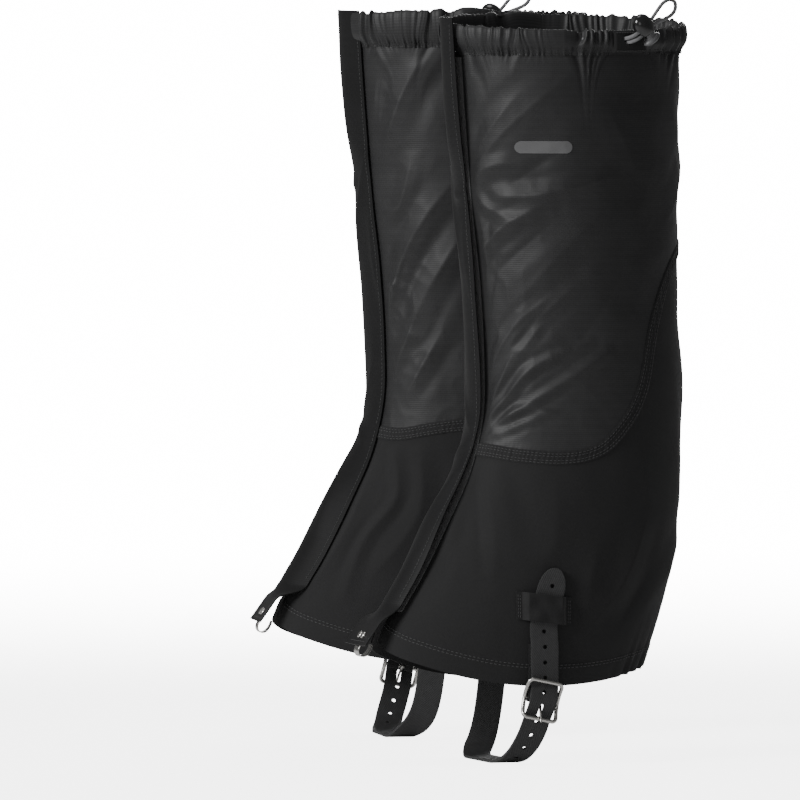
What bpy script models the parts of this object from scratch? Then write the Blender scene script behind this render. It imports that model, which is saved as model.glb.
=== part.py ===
"""A pair of knee-high hiking gaiters with a front flap, drawcord top and buckled instep strap.

Frame: metres, +Z up, toes towards -Y, the wearer's left side towards +X. The underside of the
instep straps is at Z = 0. The left gaiter is modelled piece by piece in its own upright frame,
with the leg's axis at its origin, and the right gaiter is its mirror image.
"""
import math

import bmesh
import bpy
from mathutils import Matrix, Vector

MM = 0.001
GAP = 0.3 * MM

# The pair
LEG_SPACING = 256 * MM
TOE_OUT = math.radians(4.3)
LEG_AXIS_Y = 29.2 * MM

# The fabric tube: (height, place) pairs in millimetres, from the hem up
FRONT_LINE = ((50, -137), (80, -127), (95, -120), (120, -104), (155, -85), (188, -69), (223, -60),
              (258, -59), (308, -61.5), (358, -67), (418, -72), (478, -76))
BACK_LINE = ((50, 49), (75, 58), (95, 65), (120, 72), (155, 77), (188, 79), (238, 79), (308, 76),
             (418, 77), (478, 77))
HALF_WIDTH = ((50, 48), (80, 50), (155, 52), (258, 57), (358, 60), (478, 62))
# (angle from the front in degrees, height in millimetres), the same on both sides
HEM_LINE = ((0, 80), (40, 66), (80, 53), (110, 51), (150, 58), (180, 63))
SEAM_LINE = ((0, 203), (25, 202), (50, 199), (75, 198), (90, 203), (100, 215), (113, 241), (124, 285),
             (138, 314), (152, 327), (180, 336))
MEDIAL_RISE = 10 * MM
NARROW_TOE = 0.2
ANKLE_HEIGHT = 215 * MM

SHELL = 1.0 * MM
OPENING = 6 * MM
CASING_BOTTOM = 459.5 * MM
CASING_TOP = 475.5 * MM
CASING_WALL = 0.8 * MM
CASING_DEPTH = 5.0 * MM

# The front flap, sewn at its medial edge and free at its lateral edge
FLAP_MEDIAL = -20 * MM
FLAP_LATERAL = 16 * MM
FLAP_TOP = 481.5 * MM
FLAP_SPLIT = 250 * MM
TAB_ROOT = 96 * MM
TAB_LENGTH = 27 * MM
TAB_DIRECTION = Vector((0, -0.55, -0.835)).normalized()
TAB_GAP = 2.0 * MM
FLAP_SEWN = 2.2 * MM
FLAP_STACK = 6.0 * MM
FLAP = 1.0 * MM

# The lace hook and its rivets, in the tab's own frame
RIVET_X = (-3.2 * MM, 3.2 * MM)
RIVET_Y = 19.5 * MM
HOOK_PLATE = 0.8 * MM

# The instep strap
STRAP_WIDTH = 18 * MM
STRAP = 2.0 * MM
HOLE_RADIUS = 1.4 * MM
HOLE_PITCH = 10 * MM
HOLES = 16
SIDE_Y = -30 * MM

# The buckle
BAR = 1.3 * MM
BUCKLE_Z = 42 * MM
BUCKLE_X = 54.4 * MM
BUCKLE_Y = SIDE_Y - 2.5 * MM
BUCKLE_TILT = math.radians(12)
BUCKLE_BOW = 4.5 * MM
BUCKLE_HALF_HEIGHT = 12.3 * MM
BUCKLE_HALF_WIDTH = 11.4 * MM
WEBBING = 0.9 * MM
TAB_ROWS = 13
PRONG_HOLE_DROP = 6.5 * MM

# The drawcord and its lock
CORD = 1.25 * MM
CORD_Z = 470.5 * MM
LOCK_ANGLE = math.radians(112)
LOCK_Z = 474.5 * MM
LOCK_OUT = 12.8 * MM
LOCK_TILT = math.radians(52)


# ---------------------------------------------------------------- helpers

def smooth_through(points, at):
    """A smooth curve through (place, value) pairs, both in millimetres or degrees."""
    if at <= points[0][0]:
        return points[0][1]
    if at >= points[-1][0]:
        return points[-1][1]
    i = max(k for k in range(len(points) - 1) if points[k][0] <= at)
    (x0, y0), (x1, y1) = points[i], points[i + 1]
    before = points[max(i - 1, 0)]
    after = points[min(i + 2, len(points) - 1)]
    step = x1 - x0
    t = (at - x0) / step
    m0 = (y1 - before[1]) / (x1 - before[0]) * step
    m1 = (after[1] - y0) / (after[0] - x0) * step
    return ((2 * t**3 - 3 * t**2 + 1) * y0 + (t**3 - 2 * t**2 + t) * m0
            + (3 * t**2 - 2 * t**3) * y1 + (t**3 - t**2) * m1)


def ease(t):
    t = min(max(t, 0.0), 1.0)
    return t * t * (3 - 2 * t)


def at_height(line, z):
    return smooth_through(line, z / MM) * MM


def at_angle(line, angle):
    turned = abs((math.degrees(angle) + 180) % 360 - 180)
    return smooth_through(line, turned) * MM


def narrowing(z):
    return NARROW_TOE * min(max((ANKLE_HEIGHT - z) / ANKLE_HEIGHT, 0), 1)


def surface(angle, z):
    """A point of the fabric tube's inner face; the angle runs from the front to the lateral side."""
    front = at_height(FRONT_LINE, z)
    back = at_height(BACK_LINE, z)
    middle = (front + back) / 2
    half = (back - front) / 2
    width = at_height(HALF_WIDTH, z) * (1 - narrowing(z) * math.cos(angle))
    return Vector((width * math.sin(angle), middle - half * math.cos(angle), z))


def outward(angle, z):
    around = surface(angle + 0.01, z) - surface(angle - 0.01, z)
    up = surface(angle, z + MM) - surface(angle, z - MM)
    return around.cross(up).normalized()


def off_surface(angle, z, offset):
    return surface(angle, z) + outward(angle, z) * offset


def angle_at_x(x, z):
    """The angle near the front at which the tube is x to the lateral side."""
    return math.asin(x / (at_height(HALF_WIDTH, z) * (1 - narrowing(z))))


def angle_at_y(y, z):
    """The angle on the lateral side at which the tube reaches y."""
    front = at_height(FRONT_LINE, z)
    back = at_height(BACK_LINE, z)
    return math.acos(((front + back) / 2 - y) / ((back - front) / 2))


def seam_height(angle):
    """The seam is a little higher on the medial side."""
    signed = (math.degrees(angle) + 180) % 360 - 180
    rise = ease((-30 - signed) / 45) * ease((signed + 150) / 60)
    return at_angle(SEAM_LINE, angle) + MEDIAL_RISE * rise


def hem_height(angle):
    return at_angle(HEM_LINE, angle)


def material(name, colour, roughness, metallic=0.0):
    made = bpy.data.materials.new(name)
    made.use_nodes = True
    shader = made.node_tree.nodes["Principled BSDF"]
    shader.inputs["Base Color"].default_value = (*colour, 1)
    shader.inputs["Roughness"].default_value = roughness
    shader.inputs["Metallic"].default_value = metallic
    return made


def add_object(name, data, finish, parent, matrix=None):
    made = bpy.data.objects.new(name, data)
    parts.objects.link(made)
    made.parent = parent
    if matrix is not None:
        made.matrix_local = matrix
    if finish is not None:
        data.materials.append(material(name, *finish))
    return made


def mesh_from(bm, name):
    mesh = bpy.data.meshes.new(name)
    bm.normal_update()
    bm.to_mesh(mesh)
    bm.free()
    mesh.shade_smooth()
    mesh.set_sharp_from_angle(angle=math.radians(40))
    return mesh


def sheet(name, point, columns, rows, thickness, finish, parent, origin=None):
    """A curved sheet through point(u, v), thickened outwards. Its origin can be moved."""
    centre = origin or Vector()
    bm = bmesh.new()
    grid = [[bm.verts.new(point(u / columns, v / rows) - centre) for u in range(columns + 1)]
            for v in range(rows + 1)]
    for low, high in zip(grid, grid[1:]):
        for u in range(columns):
            bm.faces.new((low[u], low[u + 1], high[u + 1], high[u]))
    made = add_object(name, mesh_from(bm, name), finish, parent, Matrix.Translation(centre))
    solid = made.modifiers.new("thickness", "SOLIDIFY")
    solid.thickness = thickness
    solid.offset = 1
    solid.use_even_offset = True
    return made


def tube(name, points, radius, finish, parent, closed=False):
    """A round wire or cord through the points, as a mesh with welded caps."""
    data = bpy.data.curves.new(name, "CURVE")
    data.dimensions = "3D"
    data.bevel_depth = radius
    data.bevel_resolution = 2
    data.use_fill_caps = not closed
    spline = data.splines.new("POLY")
    spline.points.add(len(points) - 1)
    for target, point in zip(spline.points, points):
        target.co = (*point, 1)
    spline.use_cyclic_u = closed
    curve = bpy.data.objects.new(name + "_curve", data)
    parts.objects.link(curve)
    bpy.context.view_layer.update()
    mesh = bpy.data.meshes.new_from_object(curve.evaluated_get(bpy.context.evaluated_depsgraph_get()))
    bpy.data.objects.remove(curve)
    bm = bmesh.new()
    bm.from_mesh(mesh)
    bpy.data.meshes.remove(mesh)
    bmesh.ops.remove_doubles(bm, verts=bm.verts, dist=0.01 * MM)
    return add_object(name, mesh_from(bm, name), finish, parent)


def smooth_path(points, steps):
    """A Catmull-Rom curve through the points, with the same number of steps in each stretch."""
    path = []
    for i in range(len(points) - 1):
        p0, p1, p2, p3 = (Vector(points[min(max(k, 0), len(points) - 1)]) for k in range(i - 1, i + 3))
        for step in range(steps):
            t = step / steps
            path.append(0.5 * (2 * p1 + (p2 - p0) * t + (2 * p0 - 5 * p1 + 4 * p2 - p3) * t**2
                               + (3 * p1 - p0 - 3 * p2 + p3) * t**3))
    path.append(Vector(points[-1]))
    return path


def cut(target, cutter, operation="DIFFERENCE"):
    modifier = target.modifiers.new(operation.lower(), "BOOLEAN")
    modifier.operation = operation
    modifier.solver = "EXACT"
    modifier.object = cutter


def cutter_object(name, bm, parent, matrix=None):
    made = bpy.data.objects.new(name, mesh_from(bm, name))
    cutters.objects.link(made)
    made.parent = parent
    if matrix is not None:
        made.matrix_local = matrix
    made.hide_render = True
    made.display_type = "WIRE"
    return made


def add_cylinder(bm, radius, length, matrix, segments=12):
    bmesh.ops.create_cone(bm, cap_ends=True, segments=segments, radius1=radius, radius2=radius,
                          depth=length, matrix=matrix)


def turned(name, profile, steps, finish, parent, matrix):
    """A turned piece about its own Z axis, from (radius, height) points from top to bottom."""
    bm = bmesh.new()
    ring = [bm.verts.new((radius, 0, height)) for radius, height in profile]
    for top, bottom in zip(ring, ring[1:]):
        bm.edges.new((top, bottom))
    made = add_object(name, mesh_from(bm, name), finish, parent, matrix)
    screw = made.modifiers.new("turn", "SCREW")
    screw.axis = "Z"
    screw.steps = steps
    screw.render_steps = steps
    screw.use_merge_vertices = True
    screw.merge_threshold = 0.00001
    screw.use_normal_calculate = True
    return made


def frame_at(origin, x_axis, y_axis, z_axis):
    basis = Matrix((x_axis, y_axis, z_axis)).transposed().to_4x4()
    return Matrix.Translation(origin) @ basis


# ---------------------------------------------------------------- fabric tube

NYLON = ((0.045, 0.045, 0.048), 0.45)
PACK_CLOTH = ((0.028, 0.028, 0.03), 0.8)
WEBBING_BLACK = ((0.02, 0.02, 0.022), 0.75)
RUBBER = ((0.035, 0.038, 0.042), 0.6)
NICKEL = ((0.62, 0.61, 0.58), 0.25, 1.0)
CORD_GREY = ((0.08, 0.08, 0.085), 0.7)


def around_the_leg(u, v, bottom, top):
    """Angle and height on a tube that is open along the front."""
    first = 2 * math.pi * u
    z = bottom(first) + (top(first) - bottom(first)) * v
    edge = angle_at_x(OPENING, z)
    angle = edge + u * (2 * math.pi - 2 * edge)
    return angle, bottom(angle) + (top(angle) - bottom(angle)) * v


def upper_shell(side):
    def point(u, v):
        low = lambda angle: seam_height(angle) + GAP
        angle, z = around_the_leg(u, v**1.6, low, lambda angle: CASING_BOTTOM)
        return off_surface(angle, z, 0)
    return sheet(side + "_upper_shell", point, 32, 5, SHELL, NYLON, gaiter)


def lower_shell(side):
    def point(u, v):
        angle, z = around_the_leg(u, v, hem_height, lambda angle: seam_height(angle) - GAP)
        return off_surface(angle, z, 0)
    made = sheet(side + "_lower_shell", point, 32, 7, SHELL, PACK_CLOTH, gaiter)
    bm = bmesh.new()
    add_cylinder(bm, 1.9 * MM, 12 * MM, Matrix.Rotation(math.pi / 2, 4, "Y"))
    cut(made, cutter_object(side + "_anchor_hole", bm, gaiter, Matrix.Translation(anchor_point(0))))
    return made


def casing_ends():
    """The angles at which the casing starts and ends, just clear of the flap's two edges."""
    last = angle_at_x(FLAP_MEDIAL - 4.0 * MM, CASING_BOTTOM)
    return angle_at_x(FLAP_LATERAL + 1.5 * MM, CASING_BOTTOM), 2 * math.pi + last


def top_casing(side, hole):
    """The folded channel along the rim that the drawcord runs in."""
    wall = CASING_WALL / 2
    low = CASING_BOTTOM + 2 * GAP
    section = ((wall, low), (wall, CASING_TOP), (wall + CASING_DEPTH, CASING_TOP),
               (wall + CASING_DEPTH, low))
    first, last = casing_ends()

    def point(u, v):
        offset, z = section[round(v * (len(section) - 1))]
        return off_surface(first + u * (last - first), z, offset)
    made = sheet(side + "_top_casing", point, 32, len(section) - 1, CASING_WALL, NYLON, gaiter)
    made.modifiers["thickness"].offset = 0
    cut(made, hole)
    return made


def heel_elastic(side):
    def point(u, v):
        angle = math.radians(130 + 100 * u)
        return off_surface(angle, hem_height(angle) + (3 + 8 * v) * MM, -1.7 * MM)
    return sheet(side + "_heel_elastic", point, 10, 1, 1.0 * MM, WEBBING_BLACK, gaiter)


def reflective_mark(side):
    """A plain rounded bar on the lateral side."""
    half_length = 17 * MM
    radius = 4 * MM

    def point(u, v):
        across = (2 * v - 1) * radius
        reach = half_length - radius + math.sqrt(max(radius**2 - across**2, (1.5 * MM)**2))
        z = 398.5 * MM + across
        return off_surface(angle_at_y(SIDE_Y + (2 * u - 1) * reach, z), z, SHELL + 0.7 * MM)
    return sheet(side + "_reflective_mark", point, 6, 4, 0.4 * MM, ((0.35, 0.35, 0.36), 0.4), gaiter)


# ---------------------------------------------------------------- front flap

def flap_offset(x):
    share = (x - FLAP_MEDIAL) / (FLAP_LATERAL - FLAP_MEDIAL)
    return FLAP_SEWN + (FLAP_STACK - FLAP_SEWN) * ease(share / 0.6)


def flap_point(x, z, below=0.0):
    return off_surface(angle_at_x(x, z), z, flap_offset(x) - below)


def flap_strip(name, x0, x1, z0, z1, below, columns, rows, thickness, finish, origin=None):
    def point(u, v):
        return flap_point(x0 + (x1 - x0) * u, z0 + (z1 - z0) * v, below)
    return sheet(name, point, columns, rows, thickness, finish, gaiter, origin)


def front_flap(side):
    """The flap in two lengths, and the hook strips under its free edge."""
    hinge = flap_hinge()[0]
    hook_under = 0.8 * MM + 1.0 * MM
    flap_strip(side + "_front_flap_upper", FLAP_MEDIAL, FLAP_LATERAL, FLAP_SPLIT + GAP, FLAP_TOP, 0,
               6, 8, FLAP, NYLON, hinge)
    flap_strip(side + "_front_flap_lower", FLAP_MEDIAL, FLAP_LATERAL, TAB_ROOT + GAP, FLAP_SPLIT, 0,
               6, 10, FLAP, NYLON)
    flap_strip(side + "_hook_strip_upper", 4 * MM, 15 * MM, 256 * MM, 456 * MM, hook_under,
               2, 7, 1.0 * MM, WEBBING_BLACK, hinge)
    flap_strip(side + "_hook_strip_lower", 4 * MM, 15 * MM, 104 * MM, 244 * MM, hook_under,
               2, 10, 1.0 * MM, WEBBING_BLACK)


def flap_hinge():
    """The sewn edge of the upper flap: a point on it and its direction."""
    low = flap_point(FLAP_MEDIAL, FLAP_SPLIT)
    high = flap_point(FLAP_MEDIAL, FLAP_TOP)
    return low, (high - low).normalized()


def loop_strip(side):
    def point(u, v):
        z = (98 + 358 * v) * MM
        return off_surface(angle_at_x((7.5 + 7.5 * u) * MM, z), z, SHELL + 1.0 * MM)
    return sheet(side + "_loop_strip", point, 2, 16, 1.0 * MM, WEBBING_BLACK, gaiter)


def tab_root():
    return flap_point((FLAP_MEDIAL + FLAP_LATERAL) / 2, TAB_ROOT)


def tab_frame():
    """X across the tab, Y down along it, Z out of its outer face."""
    across = Vector((-1, 0, 0))
    down = TAB_DIRECTION
    centre = (flap_point(FLAP_MEDIAL, TAB_ROOT) + flap_point(FLAP_LATERAL, TAB_ROOT)) / 2
    out = across.cross(down).normalized()
    return frame_at(Vector((centre.x, tab_root().y, tab_root().z)), across, down, out)


def flap_tab(side):
    """The free end of the flap with its lace hook and two rivets, all on one frame."""
    frame = tab_frame()
    inverse = frame.inverted()

    def point(u, v):
        x = FLAP_LATERAL + (FLAP_MEDIAL - FLAP_LATERAL) * u
        start = inverse @ flap_point(x, TAB_ROOT - TAB_GAP)
        level = start.z * (1 - ease(v * 3))
        return Vector((start.x, start.y + (TAB_LENGTH - start.y) * v, level))
    tab = sheet(side + "_flap_tab", point, 6, 5, FLAP, NYLON, gaiter)
    tab.matrix_local = frame

    holes = bmesh.new()
    for x in RIVET_X:
        add_cylinder(holes, 1.5 * MM, 12 * MM, Matrix.Translation((x, RIVET_Y, 0)))
    cutter = cutter_object(side + "_rivet_holes", holes, gaiter, frame)
    cut(tab, cutter)

    plate = -0.4 * MM - HOOK_PLATE
    bend = ((14, 0), (26, 0), (29.5, -0.6), (31.5, -2.6), (31.5, -5.2), (29.5, -7.2), (25.5, -7.8),
            (21.5, -7.0))

    def hook_point(u, v):
        y, z = bend[round(v * (len(bend) - 1))]
        return Vector(((9 * u - 4.5) * MM, y * MM, plate + z * MM))
    hook = sheet(side + "_lace_hook", hook_point, 2, len(bend) - 1, HOOK_PLATE, NICKEL, gaiter)
    hook.matrix_local = frame
    cut(hook, cutter)

    head = FLAP + 0.3 * MM
    tail = plate - 0.3 * MM
    profile = ((0, head + 1.3 * MM), (1.6 * MM, head + 1.0 * MM), (2.5 * MM, head + 0.2 * MM),
               (2.3 * MM, head), (1.1 * MM, head), (1.1 * MM, tail), (1.9 * MM, tail),
               (1.9 * MM, tail - 0.6 * MM), (0, tail - 0.6 * MM))
    for letter, x in zip("ab", RIVET_X):
        place = frame @ Matrix.Translation((x, RIVET_Y, 0))
        turned(side + "_rivet_" + letter, profile, 12, NICKEL, gaiter, place)


# ---------------------------------------------------------------- instep strap

def side_point(z, out, y=SIDE_Y):
    """A point off the lateral side of the tube."""
    return off_surface(angle_at_y(y, z), z, out)


def medial(point):
    return Vector((-point.x, point.y, point.z))


def anchor_point(out):
    return medial(side_point(64 * MM, out))


def buckle_place():
    """The buckle's frame: X outwards, Y along its middle bar, Z up the strap."""
    centre = Vector((BUCKLE_X, BUCKLE_Y, BUCKLE_Z))
    return Matrix.Translation(centre) @ Matrix.Rotation(-BUCKLE_TILT, 4, "X")


def strap_route():
    """The strap's middle line, from its tip on the lateral side to its sewn end on the medial."""
    over_shell = SHELL + 1.9 * MM
    over_webbing = 5.5 * MM
    lateral = [side_point(z * MM, over_shell, y * MM) for z, y in ((127, -21), (113, -25), (99, -28.5), (89, -30))]
    lateral += [side_point(z * MM, over_webbing) for z in (76, 66)]
    bars = BUCKLE_BOW - 4.1 * MM
    over_bar = BAR + WEBBING + 1.3 * MM + STRAP / 2
    place = buckle_place()
    lateral += [place @ Vector(point) for point in ((bars, 0, BUCKLE_HALF_HEIGHT), (over_bar, 0, 0),
                                                    (bars - 0.6 * MM, 0, -BUCKLE_HALF_HEIGHT))]
    sole = 1.03
    under = [Vector(p) * MM for p in ((51.5, -38, 20), (46.5, -41.5, 11), (38.5, -44.5, 4.6),
                                      (29, -47.5, sole + 0.4), (20, -48, sole), (7, -48, sole),
                                      (-7, -48, sole), (-20, -48, sole), (-29, -47.5, sole + 0.4),
                                      (-38.5, -44.5, 4.6), (-46, -39, 11), (-50, -35, 20),
                                      (-51.5, -32, 34))]
    sewn = [medial(side_point(z * MM, over_shell)) for z in (52, 64, 76)]
    return smooth_path(lateral + under + sewn, 2)


def across_strap(point):
    """The strap's width direction: along the tube where it lies on it, and along Y below."""
    angle = angle_at_y(point.y, point.z)
    along_tube = (surface(angle + 0.01, point.z) - surface(angle - 0.01, point.z)).normalized()
    if point.x < 0:
        along_tube.x = -along_tube.x
    return Vector((0, 1, 0)).lerp(along_tube, ease((point.z - 54 * MM) / (22 * MM)))


def strap_frames():
    """Middle point, width direction, outward direction and length so far, along the strap."""
    route = strap_route()
    frames = []
    length = 0.0
    for i, middle in enumerate(route):
        along = (route[min(i + 1, len(route) - 1)] - route[max(i - 1, 0)]).normalized()
        width = across_strap(middle)
        width = (width - along * width.dot(along)).normalized()
        if i:
            length += (middle - route[i - 1]).length
        frames.append((middle, width, width.cross(along).normalized() * -1, length))
    return frames


def strap_place(frames, length):
    """The frame at a given length from the tip."""
    i = max(k for k in range(len(frames) - 1) if frames[k][3] <= length)
    low, high = frames[i], frames[i + 1]
    t = (length - low[3]) / (high[3] - low[3])
    middle = low[0].lerp(high[0], t)
    width = low[1].lerp(high[1], t).normalized()
    out = low[2].lerp(high[2], t).normalized()
    return frame_at(middle, width, out.cross(width), out)


def instep_strap(side):
    frames = strap_frames()
    tip = 15 * MM

    def point(u, v):
        middle, width, out, length = frames[round(v * (len(frames) - 1))]
        half = STRAP_WIDTH / 2
        if length < tip:
            half *= max(math.sqrt(1 - ((tip - length) / tip)**2), 0.16)
        return middle + width * half * (1 - 2 * u) - out * STRAP / 2
    strap = sheet(side + "_instep_strap", point, 2, len(frames) - 1, STRAP, RUBBER, gaiter)

    bm = bmesh.new()
    for hole in range(HOLES):
        length = 12 * MM + hole * HOLE_PITCH
        place = strap_place(frames, length)
        below_bar = BUCKLE_Z - place.translation.z
        if place.translation.z > 4 * MM and abs(below_bar - PRONG_HOLE_DROP) > 5 * MM:
            add_cylinder(bm, HOLE_RADIUS, 6 * MM, place, 8)
    cut(strap, cutter_object(side + "_strap_holes", bm, gaiter))

    slot = bmesh.new()
    bmesh.ops.create_cube(slot, size=1, matrix=Matrix.Diagonal((14 * MM, 3.0 * MM, 8 * MM, 1)))
    cut(strap, cutter_object(side + "_prong_slot", slot, gaiter,
                             buckle_place() @ Matrix.Translation((0, 0, -PRONG_HOLE_DROP))))
    end = bmesh.new()
    add_cylinder(end, 1.9 * MM, 12 * MM, Matrix.Rotation(math.pi / 2, 4, "Y"))
    cut(strap, cutter_object(side + "_strap_end_hole", end, gaiter, Matrix.Translation(anchor_point(0))))
    return strap


def strap_keeper(side):
    """A fabric loop sewn to the shell at both ends, bridging the strap."""
    half_length = 18 * MM
    tilt = math.tan(math.radians(-7))

    def point(u, v):
        y = (2 * u - 1) * half_length
        z = 101 * MM + (2 * v - 1) * 9 * MM + y * tilt
        rise = ease((14.5 * MM - abs(y)) / (4 * MM))
        return side_point(z, SHELL + 0.6 * MM + rise * 4.3 * MM, y - 29 * MM)
    return sheet(side + "_strap_keeper", point, 14, 2, 1.0 * MM, PACK_CLOTH, gaiter)


def strap_anchor(side):
    """The medial end of the strap: a backing patch inside the shell and a rivet through all."""
    def point(u, v):
        z = (54 + 20 * v) * MM
        inside = side_point(z, -1.8 * MM, SIDE_Y + (9 - 18 * u) * MM)
        return medial(inside)
    patch = sheet(side + "_strap_anchor_patch", point, 3, 3, 1.2 * MM, WEBBING_BLACK, gaiter)
    bm = bmesh.new()
    add_cylinder(bm, 1.9 * MM, 12 * MM, Matrix.Rotation(math.pi / 2, 4, "Y"))
    cut(patch, cutter_object(side + "_patch_hole", bm, gaiter, Matrix.Translation(anchor_point(0))))

    out = (anchor_point(MM) - anchor_point(0)).normalized()
    up = Vector((0, 0, 1))
    up = (up - out * up.dot(out)).normalized()
    head = SHELL + 1.9 * MM + STRAP / 2 + 0.4 * MM
    tail = -1.8 * MM - 0.4 * MM
    profile = ((0, head + 1.4 * MM), (2.2 * MM, head + 1.1 * MM), (3.5 * MM, head + 0.3 * MM),
               (3.3 * MM, head), (1.4 * MM, head), (1.4 * MM, tail), (3.0 * MM, tail),
               (3.0 * MM, tail - 0.7 * MM), (0, tail - 0.7 * MM))
    turned(side + "_strap_anchor_rivet", profile, 14, NICKEL, gaiter,
           frame_at(anchor_point(0), up.cross(out), up, out))


# ---------------------------------------------------------------- buckle

def buckle_tab(side):
    """Webbing sewn to the shell, folded round the buckle's middle bar, slotted for the prong."""
    single = SHELL + 0.7 * MM
    doubled = single + 2 * WEBBING + 0.4 * MM
    turn = BAR + 0.3 * MM + WEBBING
    fold = [Vector((-turn, 0, 5 * MM))]
    for step in range(7):
        angle = math.pi - step * math.pi / 6
        fold.append(Vector((math.cos(angle) * turn, 0, -math.sin(angle) * turn)))
    fold.append(Vector((-0.2 * MM, 0, 5.5 * MM)))
    place = buckle_place()

    def point(u, v):
        across = Vector((0, (7.6 - 17 * u) * MM, 0))
        y = SIDE_Y + across.y
        down = [side_point(z * MM, single, y) for z in (78, 68, 57)]
        up = [side_point(z * MM, doubled, y) for z in (57, 64)]
        route = down + [place @ (bend + across) for bend in fold] + up
        return route[round(v * TAB_ROWS)]
    made = sheet(side + "_buckle_tab", point, 2, TAB_ROWS, WEBBING, WEBBING_BLACK, gaiter)
    bm = bmesh.new()
    size = Matrix.Diagonal((14 * MM, 4.4 * MM, 11 * MM, 1))
    bmesh.ops.create_cube(bm, size=1, matrix=size)
    cut(made, cutter_object(side + "_tab_slot", bm, gaiter,
                            place @ Matrix.Translation((0, 0, -0.5 * MM))))
    return made


def buckle_frame(side):
    """A wire rectangle with round corners, bowed towards the shoe at its middle bar."""
    corner = 3.0 * MM
    flat = []
    for sy, sz, start in ((1, 1, 0), (-1, 1, 90), (-1, -1, 180), (1, -1, 270)):
        for step in range(3):
            angle = math.radians(start + 45 * step)
            y = sy * (BUCKLE_HALF_WIDTH - corner) + corner * math.cos(angle)
            z = sz * (BUCKLE_HALF_HEIGHT - corner) + corner * math.sin(angle)
            flat.append((y, z))
        if sy * sz < 0:
            continue
        flat += [(-sz * (BUCKLE_HALF_WIDTH - corner) * t, sz * BUCKLE_HALF_HEIGHT) for t in (-0.4, 0.4)]
    flat = with_side_points(flat)
    ring = [Vector((BUCKLE_BOW * (z / BUCKLE_HALF_HEIGHT)**2, y, z)) for y, z in flat]
    frame = tube(side + "_buckle_frame", ring, BAR, NICKEL, gaiter, closed=True)
    frame.matrix_local = buckle_place()
    bar = bmesh.new()
    add_cylinder(bar, BAR * 0.9, 2 * BUCKLE_HALF_WIDTH, Matrix.Rotation(math.pi / 2, 4, "X"), 10)
    cut(frame, cutter_object(side + "_middle_bar", bar, gaiter, buckle_place()), "UNION")
    return frame


def with_side_points(flat):
    """Adds points down the two side rails, so that they follow the bow."""
    full = []
    for here, after in zip(flat, flat[1:] + flat[:1]):
        full.append(here)
        if abs(here[0] - after[0]) < 0.1 * MM and abs(here[1] - after[1]) > 6 * MM:
            for t in (0.25, 0.5, 0.75):
                full.append((here[0], here[1] + (after[1] - here[1]) * t))
    return full


def buckle_prong(side):
    """A wire pin: an eye round the middle bar and a straight shank resting on the lower bar."""
    wire = 0.8 * MM
    eye = BAR + 0.35 * MM + wire
    points = []
    for step in range(8):
        angle = math.radians(75 + step * 28)
        points.append(Vector((math.cos(angle) * eye, 0, math.sin(angle) * eye)))
    rest = Vector((BUCKLE_BOW + BAR + 0.9 * MM + wire, 0, -BUCKLE_HALF_HEIGHT))
    tip = rest + (rest - points[-1]).normalized() * 2.2 * MM
    points += [points[-1].lerp(tip, t) for t in (0.35, 0.7, 1.0)]
    prong = tube(side + "_buckle_prong", points, wire, NICKEL, gaiter)
    prong.matrix_local = buckle_place()
    return prong


# ---------------------------------------------------------------- drawcord and lock

def lock_frame():
    """X along the button's travel, Y along the cord strands, Z away from the leg."""
    out = outward(LOCK_ANGLE, LOCK_Z)
    out = Vector((out.x, out.y, 0)).normalized()
    up = Vector((0, 0, 1))
    rearward = up.cross(out)
    axis = rearward * math.cos(LOCK_TILT) - up * math.sin(LOCK_TILT)
    cord = rearward * math.sin(LOCK_TILT) + up * math.cos(LOCK_TILT)
    return frame_at(surface(LOCK_ANGLE, LOCK_Z) + out * LOCK_OUT, axis, cord, out)


def drawcord(side):
    route = []
    count = 34
    first, last = casing_ends()
    for step in range(count + 1):
        angle = first + (last - first) * (0.01 + 0.98 * step / count)
        route.append(off_surface(angle, CORD_Z, CASING_WALL / 2 + CASING_DEPTH / 2))
    return tube(side + "_drawcord", route, CORD, CORD_GREY, gaiter)


LOOP_ROUTE = ((1.6, -12.0, -8.9), (1.6, -11.3, -5.0), (1.6, -9.2, -1.8), (1.6, -6.0, -0.2), (1.6, 0, 0),
              (1.7, 6.0, 0), (2.9, 11.0, 0.3), (4.6, 16.5, 0.6), (5.6, 21.5, 0.8), (4.6, 26.0, 1.0),
              (0.8, 28.6, 1.1), (-3.2, 26.4, 1.0), (-4.6, 21.5, 0.8), (-4.0, 16.5, 0.6), (-2.7, 11.0, 0.3),
              (-1.7, 6.0, 0), (-1.6, 0, 0), (-1.6, -6.0, -0.2), (-1.6, -9.2, -1.8), (-1.6, -11.3, -5.0),
              (-1.6, -12.0, -8.9))


def cord_loop(side):
    """The free loop of drawcord that the lock holds: (axis, cord, out) points in the lock frame."""
    route = [lock @ (Vector(point) * MM) for point in LOOP_ROUTE]
    return tube(side + "_cord_loop", route, CORD, CORD_GREY, gaiter)


def exit_hole(side):
    bm = bmesh.new()
    shape = Matrix.Translation((0, -11.9 * MM, -7 * MM)) @ Matrix.Diagonal((1.9, 1, 1, 1))
    add_cylinder(bm, 2.0 * MM, 6.2 * MM, shape)
    return cutter_object(side + "_exit_hole", bm, gaiter, lock)


def cord_exit_patch(side, hole):
    def point(u, v):
        angle = LOCK_ANGLE + math.radians(-13 + 17 * u)
        z = (460.5 + 12 * v) * MM
        return off_surface(angle, z, CASING_WALL + CASING_DEPTH + 0.6 * MM)
    made = sheet(side + "_cord_exit_patch", point, 4, 2, 0.6 * MM, PACK_CLOTH, gaiter)
    cut(made, hole)
    return made


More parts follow.
